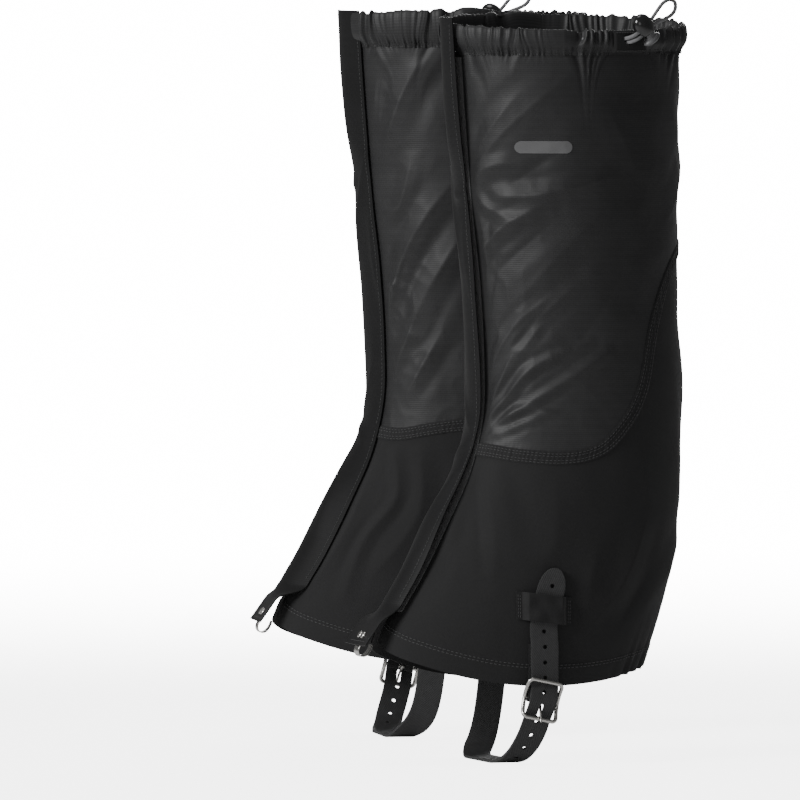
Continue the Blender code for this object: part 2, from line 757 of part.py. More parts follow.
def cord_lock_body(side):
    """A bean-shaped shell with a blind bore for the button and a slot for the two strands."""
    bm = bmesh.new()
    bmesh.ops.create_uvsphere(bm, u_segments=14, v_segments=8, radius=1,
                              matrix=Matrix.Rotation(math.pi / 2, 4, "Y"))
    bmesh.ops.transform(bm, verts=bm.verts, matrix=Matrix.Translation((-2.5 * MM, 0, 0))
                        @ Matrix.Diagonal((8.5 * MM, 7 * MM, 5.6 * MM, 1)))
    everything = bm.verts[:] + bm.edges[:] + bm.faces[:]
    bmesh.ops.bisect_plane(bm, geom=everything, plane_co=(3.4 * MM, 0, 0), plane_no=(1, 0, 0),
                           clear_outer=True)
    bmesh.ops.holes_fill(bm, edges=[edge for edge in bm.edges if edge.is_boundary])
    bmesh.ops.recalc_face_normals(bm, faces=bm.faces)
    body = add_object(side + "_cord_lock_body", mesh_from(bm, side + "_cord_lock_body"),
                      ((0.02, 0.02, 0.02), 0.25), gaiter, lock)
    bore = bmesh.new()
    along = Matrix.Rotation(math.pi / 2, 4, "Y")
    add_cylinder(bore, 4.3 * MM, 16 * MM, Matrix.Translation((1.7 * MM, 0, 0)) @ along, 16)
    cut(body, cutter_object(side + "_lock_bore", bore, gaiter, lock))
    pocket = bmesh.new()
    add_cylinder(pocket, 2.4 * MM, 6 * MM, Matrix.Translation((-6.3 * MM, 0, 0)) @ along, 12)
    cut(body, cutter_object(side + "_spring_pocket", pocket, gaiter, lock))
    slot = bmesh.new()
    bmesh.ops.create_cube(slot, size=1, matrix=Matrix.Diagonal((6.4 * MM, 20 * MM, 4.2 * MM, 1)))
    cut(body, cutter_object(side + "_lock_slot", slot, gaiter, lock))


def cord_lock_button(side):
    """The plunger: a slotted stem in the bore and a rounded head outside it."""
    bm = bmesh.new()
    along = Matrix.Rotation(math.pi / 2, 4, "Y")
    add_cylinder(bm, 4.0 * MM, 12.4 * MM, Matrix.Translation((2.2 * MM, 0, 0)) @ along, 16)
    button = add_object(side + "_cord_lock_button", mesh_from(bm, side + "_cord_lock_button"),
                        ((0.12, 0.12, 0.125), 0.4), gaiter, lock)
    head = bmesh.new()
    bmesh.ops.create_uvsphere(head, u_segments=14, v_segments=6, radius=1, matrix=along)
    bmesh.ops.transform(head, verts=head.verts, matrix=Matrix.Translation((8.4 * MM, 0, 0))
                        @ Matrix.Diagonal((2.6 * MM, 6.6 * MM, 5.0 * MM, 1)))
    cut(button, cutter_object(side + "_button_head", head, gaiter, lock), "UNION")
    slot = bmesh.new()
    bmesh.ops.create_cube(slot, size=1, matrix=Matrix.Translation((1.3 * MM, 0, 0))
                          @ Matrix.Diagonal((9.0 * MM, 20 * MM, 4.0 * MM, 1)))
    cut(button, cutter_object(side + "_button_slot", slot, gaiter, lock))


def cord_lock_spring(side):
    """A coil in the pocket behind the stem, drawn at its pressed length."""
    turns = 2
    points = []
    for step in range(17):
        angle = 2 * math.pi * turns * step / 16
        x = -8.6 * MM + 2.0 * MM * step / 16
        points.append(lock @ Vector((x, 1.8 * MM * math.cos(angle), 1.8 * MM * math.sin(angle))))
    return tube(side + "_cord_lock_spring", points, 0.3 * MM, NICKEL, gaiter)


# ---------------------------------------------------------------- the pair

def build_gaiter(side):
    hole = exit_hole(side)
    upper_shell(side)
    lower_shell(side)
    top_casing(side, hole)
    heel_elastic(side)
    reflective_mark(side)
    front_flap(side)
    loop_strip(side)
    flap_tab(side)
    instep_strap(side)
    strap_keeper(side)
    strap_anchor(side)
    buckle_tab(side)
    buckle_frame(side)
    buckle_prong(side)
    drawcord(side)
    cord_loop(side)
    cord_exit_patch(side, hole)
    cord_lock_body(side)
    cord_lock_button(side)
    cord_lock_spring(side)


def mirror_gaiter(side, other):
    """Makes the other gaiter as the mirror image of this one about X = 0."""
    bpy.context.view_layer.update()
    graph = bpy.context.evaluated_depsgraph_get()
    flip = Matrix.Diagonal((-1, 1, 1, 1))
    for source in [piece for piece in parts.objects if piece.type == "MESH"]:
        mesh = bpy.data.meshes.new_from_object(source.evaluated_get(graph))
        mesh.transform(flip)
        mesh.flip_normals()
        name = source.name.replace(side, other, 1)
        mesh.materials.clear()
        mesh.materials.append(source.data.materials[0].copy())
        mirrored = bpy.data.objects.new(name, mesh)
        mirrored.matrix_world = flip @ source.matrix_world @ flip
        parts.objects.link(mirrored)


for old in list(bpy.data.objects):
    bpy.data.objects.remove(old)
parts = bpy.data.collections.new("gaiters")
cutters = bpy.data.collections.new("cutters")
bpy.context.scene.collection.children.link(parts)
bpy.context.scene.collection.children.link(cutters)
gaiter = bpy.data.objects.new("left_leg_axis", None)
parts.objects.link(gaiter)
gaiter.matrix_world = Matrix.Translation((LEG_SPACING / 2, LEG_AXIS_Y, 0)) @ Matrix.Rotation(TOE_OUT, 4, "Z")
lock = lock_frame()
build_gaiter("left")
mirror_gaiter("left", "right")
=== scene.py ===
"""How the pair of hiking gaiters looks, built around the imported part.

Frame: metres, +Z up, toes towards -Y, the wearer's left towards +X, as in the part. Each piece of the
left gaiter is made in that gaiter's own upright frame, with the leg's axis at its origin, and is then
placed on the left and mirrored on the right.
"""

import math

import bmesh
import bpy
import numpy as np
from mathutils import Matrix, Vector, noise


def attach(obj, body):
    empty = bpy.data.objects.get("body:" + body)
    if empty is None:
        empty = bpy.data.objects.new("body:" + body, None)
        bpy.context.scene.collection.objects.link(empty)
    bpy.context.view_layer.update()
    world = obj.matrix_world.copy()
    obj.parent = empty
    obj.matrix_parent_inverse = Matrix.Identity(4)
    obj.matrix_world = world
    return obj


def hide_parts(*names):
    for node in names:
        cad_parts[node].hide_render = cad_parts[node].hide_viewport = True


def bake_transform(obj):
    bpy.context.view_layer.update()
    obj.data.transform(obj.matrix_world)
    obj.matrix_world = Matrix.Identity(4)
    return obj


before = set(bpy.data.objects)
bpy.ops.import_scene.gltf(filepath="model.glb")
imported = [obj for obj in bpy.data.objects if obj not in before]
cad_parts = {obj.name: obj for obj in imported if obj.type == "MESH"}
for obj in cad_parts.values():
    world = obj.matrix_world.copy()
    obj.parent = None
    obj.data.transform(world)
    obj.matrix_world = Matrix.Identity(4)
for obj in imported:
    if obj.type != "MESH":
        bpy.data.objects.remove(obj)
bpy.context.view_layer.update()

MM = 0.001

# ---------------------------------------------------------------- the part's layout, repeated

LEG_SPACING = 256 * MM
TOE_OUT = math.radians(4.3)
LEG_AXIS_Y = 29.2 * MM
LEG = Matrix.Translation((LEG_SPACING / 2, LEG_AXIS_Y, 0)) @ Matrix.Rotation(TOE_OUT, 4, "Z")
SIDES = {"left": LEG, "right": Matrix.Diagonal((-1, 1, 1, 1)) @ LEG}

# (height, place) pairs in millimetres, from the hem up
FRONT_LINE = ((50, -137), (80, -127), (95, -120), (120, -104), (155, -85), (188, -69), (223, -60),
              (258, -59), (308, -61.5), (358, -67), (418, -72), (478, -76))
BACK_LINE = ((50, 49), (75, 58), (95, 65), (120, 72), (155, 77), (188, 79), (238, 79), (308, 76),
             (418, 77), (478, 77))
HALF_WIDTH = ((50, 48), (80, 50), (155, 52), (258, 57), (358, 60), (478, 62))
# (angle from the front in degrees, height in millimetres), the same on both sides
HEM_LINE = ((0, 80), (40, 66), (80, 53), (110, 51), (150, 58), (180, 63))
SEAM_LINE = ((0, 203), (25, 202), (50, 199), (75, 198), (90, 203), (100, 215), (113, 241), (124, 285),
             (138, 314), (152, 327), (180, 336))
MEDIAL_RISE = 10 * MM
NARROW_TOE = 0.2
ANKLE_HEIGHT = 215 * MM
OPENING = 6 * MM
SHELL = 1.0 * MM
CASING_BOTTOM = 459.5 * MM
CASING_RADIUS = 61.3 * MM
PATCH_RADIUS = 62 * MM

FLAP_MEDIAL = -20 * MM
FLAP_LATERAL = 16 * MM
FLAP_TOP = 481.5 * MM
TAB_ROOT = 96 * MM
TAB_LENGTH = 27 * MM
TAB_DIRECTION = Vector((0, -0.55, -0.835)).normalized()
FLAP_SEWN = 2.2 * MM
FLAP_STACK = 6.0 * MM
RIVET_X = (-3.2 * MM, 3.2 * MM)
RIVET_Y = 19.5 * MM
HOOK_PLATE = 0.8 * MM

STRAP_WIDTH = 18 * MM
STRAP = 2.0 * MM
HOLE_RADIUS = 1.4 * MM
HOLE_PITCH = 10 * MM
HOLES = 16
SIDE_Y = -30 * MM
KEEPER_Y = -29 * MM
KEEPER_Z = 101 * MM

BAR = 1.3 * MM
BUCKLE_Z = 42 * MM
BUCKLE_X = 54.4 * MM
BUCKLE_Y = SIDE_Y - 2.5 * MM
BUCKLE_TILT = math.radians(12)
BUCKLE_BOW = 4.5 * MM
BUCKLE_HALF_HEIGHT = 12.3 * MM
BUCKLE_HALF_WIDTH = 11.4 * MM
WEBBING = 0.9 * MM
PRONG_HOLE_DROP = 6.5 * MM

CORD = 1.25 * MM
LOCK_ANGLE = math.radians(112)
LOCK_Z = 474.5 * MM
LOCK_OUT = 12.8 * MM
LOCK_TILT = math.radians(52)
# (axis, cord, out) points of the free cord loop in the lock's frame, in millimetres
LOOP_ROUTE = ((1.6, -12.0, -8.9), (1.6, -11.3, -5.0), (1.6, -9.2, -1.8), (1.6, -6.0, -0.2), (1.6, 0, 0),
              (1.7, 6.0, 0), (2.9, 11.0, 0.3), (4.6, 16.5, 0.6), (5.6, 21.5, 0.8), (4.6, 26.0, 1.0),
              (0.8, 28.6, 1.1), (-3.2, 26.4, 1.0), (-4.6, 21.5, 0.8), (-4.0, 16.5, 0.6), (-2.7, 11.0, 0.3),
              (-1.7, 6.0, 0), (-1.6, 0, 0), (-1.6, -6.0, -0.2), (-1.6, -9.2, -1.8), (-1.6, -11.3, -5.0),
              (-1.6, -12.0, -8.9))


# ---------------------------------------------------------------- shapes of the fabric tube

def smooth_through(points, at):
    """A smooth curve through (place, value) pairs."""
    if at <= points[0][0]:
        return points[0][1]
    if at >= points[-1][0]:
        return points[-1][1]
    i = max(k for k in range(len(points) - 1) if points[k][0] <= at)
    (x0, y0), (x1, y1) = points[i], points[i + 1]
    before = points[max(i - 1, 0)]
    after = points[min(i + 2, len(points) - 1)]
    step = x1 - x0
    t = (at - x0) / step
    m0 = (y1 - before[1]) / (x1 - before[0]) * step
    m1 = (after[1] - y0) / (after[0] - x0) * step
    return ((2 * t**3 - 3 * t**2 + 1) * y0 + (t**3 - 2 * t**2 + t) * m0
            + (3 * t**2 - 2 * t**3) * y1 + (t**3 - t**2) * m1)


def sampled(points):
    """The same curve as two arrays, to be read at many places at once."""
    places = np.linspace(points[0][0], points[-1][0], 600)
    return places, np.array([smooth_through(points, place) for place in places])


FRONT = sampled(FRONT_LINE)
BACK = sampled(BACK_LINE)
HALF = sampled(HALF_WIDTH)
HEM = sampled(HEM_LINE)
SEAM = sampled(SEAM_LINE)


def ease(t):
    t = np.clip(t, 0, 1)
    return t * t * (3 - 2 * t)


def at_height(curve, z):
    return np.interp(np.asarray(z) / MM, *curve) * MM


def at_angle(curve, angle):
    turned = np.abs((np.degrees(angle) + 180) % 360 - 180)
    return np.interp(turned, *curve) * MM


def seam_height(angle):
    """The seam is a little higher on the medial side."""
    signed = (np.degrees(angle) + 180) % 360 - 180
    rise = ease((-30 - signed) / 45) * ease((signed + 150) / 60)
    return at_angle(SEAM, angle) + MEDIAL_RISE * rise


def narrowing(z):
    return NARROW_TOE * np.clip((ANKLE_HEIGHT - z) / ANKLE_HEIGHT, 0, 1)


def surface(angle, z):
    """Points of the tube's inner face, where the angle runs from the front to the lateral side."""
    angle, z = np.broadcast_arrays(np.asarray(angle, float), np.asarray(z, float))
    front = at_height(FRONT, z)
    back = at_height(BACK, z)
    width = at_height(HALF, z) * (1 - narrowing(z) * np.cos(angle))
    return np.stack((width * np.sin(angle), (front + back) / 2 - (back - front) / 2 * np.cos(angle), z), -1)


def outward(angle, z):
    around = surface(angle + 0.01, z) - surface(angle - 0.01, z)
    up = surface(angle, z + MM) - surface(angle, z - MM)
    out = np.cross(around, up)
    return out / np.linalg.norm(out, axis=-1, keepdims=True)


def off_surface(angle, z, offset):
    return surface(angle, z) + outward(angle, z) * np.asarray(offset)[..., None]


def angle_at_x(x, z):
    return np.arcsin(x / (at_height(HALF, z) * (1 - narrowing(z))))


def angle_at_y(y, z):
    front = at_height(FRONT, z)
    back = at_height(BACK, z)
    return np.arccos(((front + back) / 2 - y) / ((back - front) / 2))


# ---------------------------------------------------------------- folds

AROUND = 1.07   # millimetres round the leg for each degree

# ((angle in degrees, height in millimetres) points, height and half width in millimetres)
UPPER_FOLDS = (
    (((13, 376), (40, 406), (78, 446)), 1.9, 8),
    (((24, 398), (50, 432)), 1.2, 5),
    (((37, 366), (60, 368), (94, 379)), 2.3, 5),
    (((42, 374), (74, 398)), -1.7, 8),
    (((15, 374), (30, 385), (54, 389)), 1.4, 4.5),
    (((15, 370), (28, 358), (44, 352)), 1.2, 3.5),
    (((18, 329), (36, 346), (62, 362)), 2.1, 4.5),
    (((28, 316), (50, 336), (68, 352)), -1.3, 6),
    (((47, 304), (92, 358)), 1.1, 7),
    (((18, 298), (23, 328), (20, 352)), 1.2, 3),
    (((14, 213), (30, 233), (52, 257), (82, 272)), 2.0, 3.0),
    (((14, 210), (60, 241), (92, 266)), 1.6, 3.0),
    (((15, 207), (66, 229)), 1.0, 2.6),
    (((15, 216), (26, 240), (38, 265)), 1.5, 3.6),
    (((32, 222), (48, 229), (70, 223)), 0.9, 2.6),
    (((20, 252), (38, 281), (62, 302)), 1.2, 3.6),
    (((52, 284), (74, 308)), 0.9, 4),
    (((40, 262), (58, 286)), 0.8, 2.6),
    (((60, 252), (84, 284), (104, 322)), -0.9, 8),
    (((96, 424), (112, 384)), 0.9, 8),
    (((328, 388), (311, 430), (296, 456)), 2.2, 7),
    (((345, 248), (330, 292), (316, 326), (287, 369)), 2.5, 6),
    (((330, 243), (312, 284), (284, 334)), 2.5, 6),
    (((324, 262), (300, 306)), -1.5, 5),
    (((338, 400), (330, 434)), 1.1, 5),
    (((336, 345), (320, 352), (310, 382)), 1.3, 4.5),
    (((320, 229), (298, 270)), 1.7, 5),
    (((340, 300), (326, 300), (318, 292)), 1.0, 2.6),
    (((334, 288), (327, 304), (324, 320)), 0.9, 2.6),
    (((280, 238), (262, 296), (246, 352)), 1.9, 8),
    (((276, 380), (250, 432)), 1.6, 8),
    (((236, 372), (206, 408), (180, 440)), 1.6, 8),
    (((140, 352), (166, 384), (196, 402)), 1.4, 8),
    (((150, 432), (172, 408)), -1.2, 8),
)
LOWER_FOLDS = (
    (((18, 190), (36, 160), (54, 122)), -2.2, 8),
    (((30, 186), (50, 150), (60, 118)), 1.3, 8),
    (((70, 184), (80, 146), (78, 124)), 1.3, 11),
    (((100, 140), (104, 108), (106, 84)), 1.6, 6),
    (((124, 156), (120, 122), (112, 92)), 1.9, 6),
    (((134, 122), (126, 90)), -1.2, 6),
    (((16, 172), (24, 112)), 1.5, 6),
    (((112, 204), (128, 160)), 1.0, 11),
    (((321, 190), (308, 160), (315, 130), (309, 94)), 1.8, 3.6),
    (((304, 188), (293, 150), (301, 110)), 1.6, 5),
    (((334, 182), (329, 140), (333, 98)), 1.5, 5),
    (((282, 190), (268, 140)), 1.6, 8),
    (((246, 240), (232, 190), (240, 130)), 1.6, 8),
    (((164, 270), (178, 220), (200, 170)), 1.5, 9),
    (((148, 112), (170, 142), (202, 150)), 1.3, 8),
)


def to_path(around, up, points):
    """Signed distance from each place to a path, and how far along the path its nearest point is."""
    path = [Vector((degrees * AROUND, height, 0)) for degrees, height in points]
    if len(path) > 2:
        path = smooth_path(path, 5)
    best = np.full(around.shape, 1e9)
    signed = np.zeros(around.shape)
    along = np.zeros(around.shape)
    stretches = len(path) - 1
    for i, (a, b) in enumerate(zip(path, path[1:])):
        run = b - a
        t = ((around - a.x) * run.x + (up - a.y) * run.y) / run.length_squared
        t = np.clip(t, 0, 1)
        dx = around - a.x - run.x * t
        dy = up - a.y - run.y * t
        distance = np.hypot(dx, dy)
        near = distance < best
        best = np.where(near, distance, best)
        signed = np.where(near, distance * np.sign(run.x * dy - run.y * dx), signed)
        along = np.where(near, (i + t) / stretches, along)
    return signed, along


def smooth_path(points, steps):
    """A Catmull-Rom curve through the points, with the same number of steps in each stretch."""
    path = []
    for i in range(len(points) - 1):
        p0, p1, p2, p3 = (Vector(points[min(max(k, 0), len(points) - 1)]) for k in range(i - 1, i + 3))
        for step in range(steps):
            t = step / steps
            path.append(0.5 * (2 * p1 + (p2 - p0) * t + (2 * p0 - 5 * p1 + 4 * p2 - p3) * t**2
                               + (3 * p1 - p0 - 3 * p2 + p3) * t**3))
    path.append(Vector(points[-1]))
    return path


def folds(angle, z):
    """How far the cloth stands off the even tube, in metres."""
    around = (np.degrees(angle) % 360) * AROUND
    up = z / MM
    total = np.zeros(around.shape)
    for points, height, half_width in UPPER_FOLDS + LOWER_FOLDS:
        signed, along = to_path(around, up, points)
        across = signed / half_width
        shape = np.exp(-1.25 * np.abs(across)**1.15) - 0.35 * np.exp(-((np.abs(across) - 2.0) / 0.8)**2)
        taper = np.sin(np.pi * np.clip(0.06 + 0.9 * along, 0, 1))**0.7
        total += height * shape * taper
    total += crumple(angle, z)
    return total * MM * free_cloth(angle, z) + puckers(angle, z)


def crumple(angle, z):
    """Small creases: soft on the lower panel, and crisper on the upper one and near the flap."""
    places = surface(angle, z)
    turned = np.abs((np.degrees(angle) + 180) % 360 - 180)
    upper = ease((z - seam_height(angle)) / (6 * MM))
    near_flap = np.exp(-((turned - 32) / 26)**2) * np.exp(-((z / MM - 262) / 62)**2)
    fine = np.zeros(turned.shape)
    broad = np.zeros(turned.shape)
    for spot in np.ndindex(turned.shape):
        place = Vector(places[spot])
        broad[spot] = noise.noise(place * 38)
        fine[spot] = 0.5 - abs(noise.noise(place * 75 + Vector((7, 3, 1))))
    return broad * (0.55 + 0.25 * upper) + fine * upper * (0.3 + 1.1 * near_flap)


def free_cloth(angle, z):
    """1 where the cloth can fold and 0 under the flap, the strap and the casing's seam."""
    degrees = (np.degrees(angle) + 180) % 360 - 180
    clear = ease((np.abs(degrees) - 16) / 9)
    clear = np.where(degrees < 0, ease((np.abs(degrees) - 21) / 9), clear)
    y = surface(angle, z)[..., 1]
    lateral = (1 - ease((np.abs(y - SIDE_Y) / MM - 19) / 12)) * (1 - ease((z / MM - 124) / 14))
    medial = (1 - ease((np.abs(y - SIDE_Y) / MM - 12) / 10)) * (1 - ease((z / MM - 80) / 12))
    clear = clear * (1 - np.where(degrees > 0, lateral, medial))
    lock = np.exp(-((degrees - 112) / 16)**2) * ease((z / MM - 425) / 20)
    return clear * (1 - lock) * (1 - 0.8 * ease((z / MM - 443) / 14))


def gather(angle):
    """The uneven pleats of the drawcord casing, from -1 to 1."""
    degrees = np.degrees(angle) % 360
    tight = np.exp(-((degrees - 84) / 16)**2) + np.exp(-((degrees - 205) / 30)**2)
    phase = (degrees / 13.5 + 0.6 * np.sin(np.radians(degrees * 3.1))
             + 0.35 * np.sin(np.radians(degrees * 7.3 + 40)))
    wave = 1 - 2 * np.abs((phase % 1) - 0.5) * 2
    quick = np.sin(2 * np.pi * phase * 2.3 + 1)
    size = 0.6 + 0.4 * np.sin(np.radians(degrees * 5.3 + 60))
    pleat = np.sin(0.5 * np.pi * wave) * size * (1 - 0.45 * tight) + quick * (0.22 + 0.4 * tight)
    return pleat * plain_at_lock(degrees)


def crinkles(degrees):
    """Fine gathers at the casing's stitches, from -1 to 1."""
    fine = (np.sin(degrees * 2.05 + 1.3 * np.sin(degrees * 0.31))
            + 0.7 * np.sin(degrees * 3.37 + 2 * np.sin(degrees * 0.17)))
    uneven = 0.55 + 0.45 * np.sin(degrees * 0.23 + 1) * np.sin(degrees * 0.11)
    return fine * 0.6 * uneven * plain_at_lock(degrees % 360)


def plain_at_lock(degrees):
    return ease((np.abs(degrees - 109.5) - 8) / 6)


def puckers(angle, z):
    """Creases that hang from the casing, gathers over the heel's elastic, and ripples at the seam."""
    below = np.clip(CASING_BOTTOM - z, 0, 1)
    drift = np.radians(0.45 * below / MM * np.sin(np.degrees(angle) * 0.14 + 0.6))
    fade = (9 + 7 * np.sin(np.degrees(angle) * 0.21 + 2)) * MM
    under_casing = np.exp(-below / fade) * 1.5 * MM
    at_stitches = np.exp(-(below / (4.5 * MM))**2) * 0.55 * MM * crinkles(np.degrees(angle + drift))
    beside_flap = ease((np.abs((np.degrees(angle) + 180) % 360 - 180) - 18) / 5)
    degrees = np.degrees(angle) % 360
    hem = at_angle(HEM, angle)
    heel = ease((degrees - 126) / 14) * ease((234 - degrees) / 14)
    over_hem = np.exp(-np.clip(z - hem - 6 * MM, 0, 1) / (9 * MM))
    ruffle = np.sin(np.radians(degrees * 46)) + 0.5 * np.sin(np.radians(degrees * 71 + 30))
    seam = np.exp(-((z - seam_height(angle)) / (5 * MM))**2)
    ripple = 0.13 * MM * np.sin(degrees * 1.7) * np.sin(degrees * 0.61 + 1)
    gathers = gather(angle + drift) * under_casing + at_stitches
    return (gathers + heel * over_hem * ruffle * 0.75 * MM + seam * ripple) * beside_flap


# ---------------------------------------------------------------- mesh tools

def grid_mesh(name, points, uv, around=False):
    """A sheet of quads from an array of rows of points, with its place in metres as its UV."""
    rows, columns = points.shape[:2]
    index = np.arange(rows * columns).reshape(rows, columns)
    if around:
        index = np.concatenate((index, index[:, :1]), 1)
    quads = np.stack((index[:-1, :-1], index[:-1, 1:], index[1:, 1:], index[1:, :-1]), -1).reshape(-1, 4)
    mesh = bpy.data.meshes.new(name)
    mesh.from_pydata(points.reshape(-1, 3).tolist(), [], quads.tolist())
    layer = mesh.uv_layers.new(name="UVMap")
    if around:
        uv = np.concatenate((uv, uv[:, :1] + (uv[:, -1:] - uv[:, -2:-1]) * columns), 1)
        index = np.arange(uv.shape[0] * uv.shape[1]).reshape(uv.shape[:2])
        quads = np.stack((index[:-1, :-1], index[:-1, 1:], index[1:, 1:], index[1:, :-1]), -1).reshape(-1, 4)
    layer.data.foreach_set("uv", uv.reshape(-1, 2)[quads.ravel()].astype(np.float32).ravel())
    mesh.shade_smooth()
    return mesh


def modified(mesh, *modifiers):
    """The mesh with modifiers applied, each given as its type and its settings."""
    work = bpy.data.objects.new("work", mesh)
    bpy.context.scene.collection.objects.link(work)
    for kind, settings in modifiers:
        modifier = work.modifiers.new(kind.lower(), kind)
        for setting, value in settings.items():
            setattr(modifier, setting, value)
    bpy.context.view_layer.update()
    graph = bpy.context.evaluated_depsgraph_get()
    made = bpy.data.meshes.new_from_object(work.evaluated_get(graph))
    bpy.data.objects.remove(work)
    return made


def thick(mesh, thickness, sharp=55):
    """The sheet given a thickness, half to each side."""
    made = modified(mesh, ("SOLIDIFY", {"thickness": thickness, "offset": 0}))
    made.set_sharp_from_angle(angle=math.radians(sharp))
    return made


def joined(meshes):
    """One mesh with all the given meshes in it."""
    bm = bmesh.new()
    for mesh in meshes:
        bm.from_mesh(mesh)
    made = bpy.data.meshes.new(meshes[0].name)
    bm.to_mesh(made)
    bm.free()
    made.shade_smooth()
    made.set_sharp_from_angle(angle=math.radians(50))
    return made


def sweep(name, points, radius, sides=16, closed=False, profile=None):
    """A round wire through the points, with closed ends. The profile thins it along its length."""
    points = [Vector(point) for point in points]
    count = len(points)
    rings = []
    length = 0.0
    side = None
    uv = []
    for i, point in enumerate(points):
        before = points[i - 1] if i or closed else point
        after = points[(i + 1) % count] if i + 1 < count or closed else point
        along = (after - before).normalized()
        if side is None:
            side = along.orthogonal().normalized()
        side = (side - along * side.dot(along)).normalized()
        other = along.cross(side)
        here = radius * (profile(i / (count - 1)) if profile else 1)
        if i:
            length += (point - points[i - 1]).length
        turns = [2 * math.pi * k / sides for k in range(sides)]
        rings.append([point + (side * math.cos(turn) + other * math.sin(turn)) * here for turn in turns])
        uv.append([(k / sides * 2 * math.pi * radius, length) for k in range(sides)])
    if closed:
        rings.append(rings[0])
        uv.append([(u, length + (points[0] - points[-1]).length) for u, _ in uv[0]])
    mesh = grid_mesh(name, np.array(rings, float), np.array(uv, float), around=True)
    bm = bmesh.new()
    bm.from_mesh(mesh)
    bmesh.ops.remove_doubles(bm, verts=bm.verts, dist=0.00001)
    bmesh.ops.holes_fill(bm, edges=[edge for edge in bm.edges if edge.is_boundary])
    bmesh.ops.recalc_face_normals(bm, faces=bm.faces)
    bm.to_mesh(mesh)
    bm.free()
    mesh.shade_smooth()
    mesh.set_sharp_from_angle(angle=math.radians(60))
    return mesh


def lathe(name, profile, matrix, sides=32):
    """A turned piece about Z, from (radius, height) points, made smooth between its corners."""
    rings = []
    for radius, height in profile:
        turns = [2 * math.pi * k / sides for k in range(sides)]
        rings.append([(max(radius, 1e-6) * math.cos(turn), max(radius, 1e-6) * math.sin(turn), height)
                      for turn in turns])
    points = np.array(rings, float)[::-1]
    mesh = grid_mesh(name, points, points[..., :2], around=True)
    bm = bmesh.new()
    bm.from_mesh(mesh)
    bmesh.ops.remove_doubles(bm, verts=bm.verts, dist=0.00001)
    bmesh.ops.recalc_face_normals(bm, faces=bm.faces)
    bm.to_mesh(mesh)
    bm.free()
    mesh.transform(matrix)
    mesh.shade_smooth()
    mesh.set_sharp_from_angle(angle=math.radians(42))
    return mesh


def stitch_row(points, outs, pitch, length, radius=0.17 * MM):
    """Sewing stitches along a line of points, each a small bowed capsule lying on the cloth."""
    points = np.asarray(points, float)
    outs = np.asarray(outs, float)
    steps = np.linalg.norm(np.diff(points, axis=0), axis=1)
    reached = np.concatenate(([0], np.cumsum(steps)))
    middles = np.arange(pitch / 2, reached[-1], pitch)

    def at(where, values):
        return np.stack([np.interp(where, reached, values[:, k]) for k in range(3)], -1)
    centre = at(middles, points)
    along = at(middles + length / 2, points) - at(middles - length / 2, points)
    size = np.linalg.norm(along, axis=1, keepdims=True)
    along = along / np.maximum(size, 1e-9)
    out = at(middles, outs)
    out = out / np.linalg.norm(out, axis=1, keepdims=True)
    side = np.cross(out, along)
    rings = []
    for share, girth, lift in ((-0.5, 0.45, -0.9), (-0.36, 0.95, 0.1), (0, 1.05, 0.45), (0.36, 0.95, 0.1),
                               (0.5, 0.45, -0.9)):
        ring = []
        for k in range(6):
            turn = 2 * math.pi * k / 6
            ring.append(centre + along * (share * size) + out * ((lift + girth * math.sin(turn)) * radius)
                        + side * (girth * math.cos(turn) * radius))
        rings.append(ring)
    vertices = np.array(rings).transpose(2, 0, 1, 3).reshape(-1, 3)
    faces = []
    for first in range(0, len(vertices), 30):
        for ring in range(4):
            for k in range(6):
                after = (k + 1) % 6
                low, high = first + ring * 6, first + ring * 6 + 6
                faces.append((low + k, high + k, high + after, low + after))
        faces.append([first + k for k in range(6)])
        faces.append([first + 24 + k for k in reversed(range(6))])
    mesh = bpy.data.meshes.new("stitches")
    mesh.from_pydata(vertices.tolist(), [], faces)
    mesh.uv_layers.new(name="UVMap")
    mesh.shade_smooth()
    return mesh


# ---------------------------------------------------------------- materials

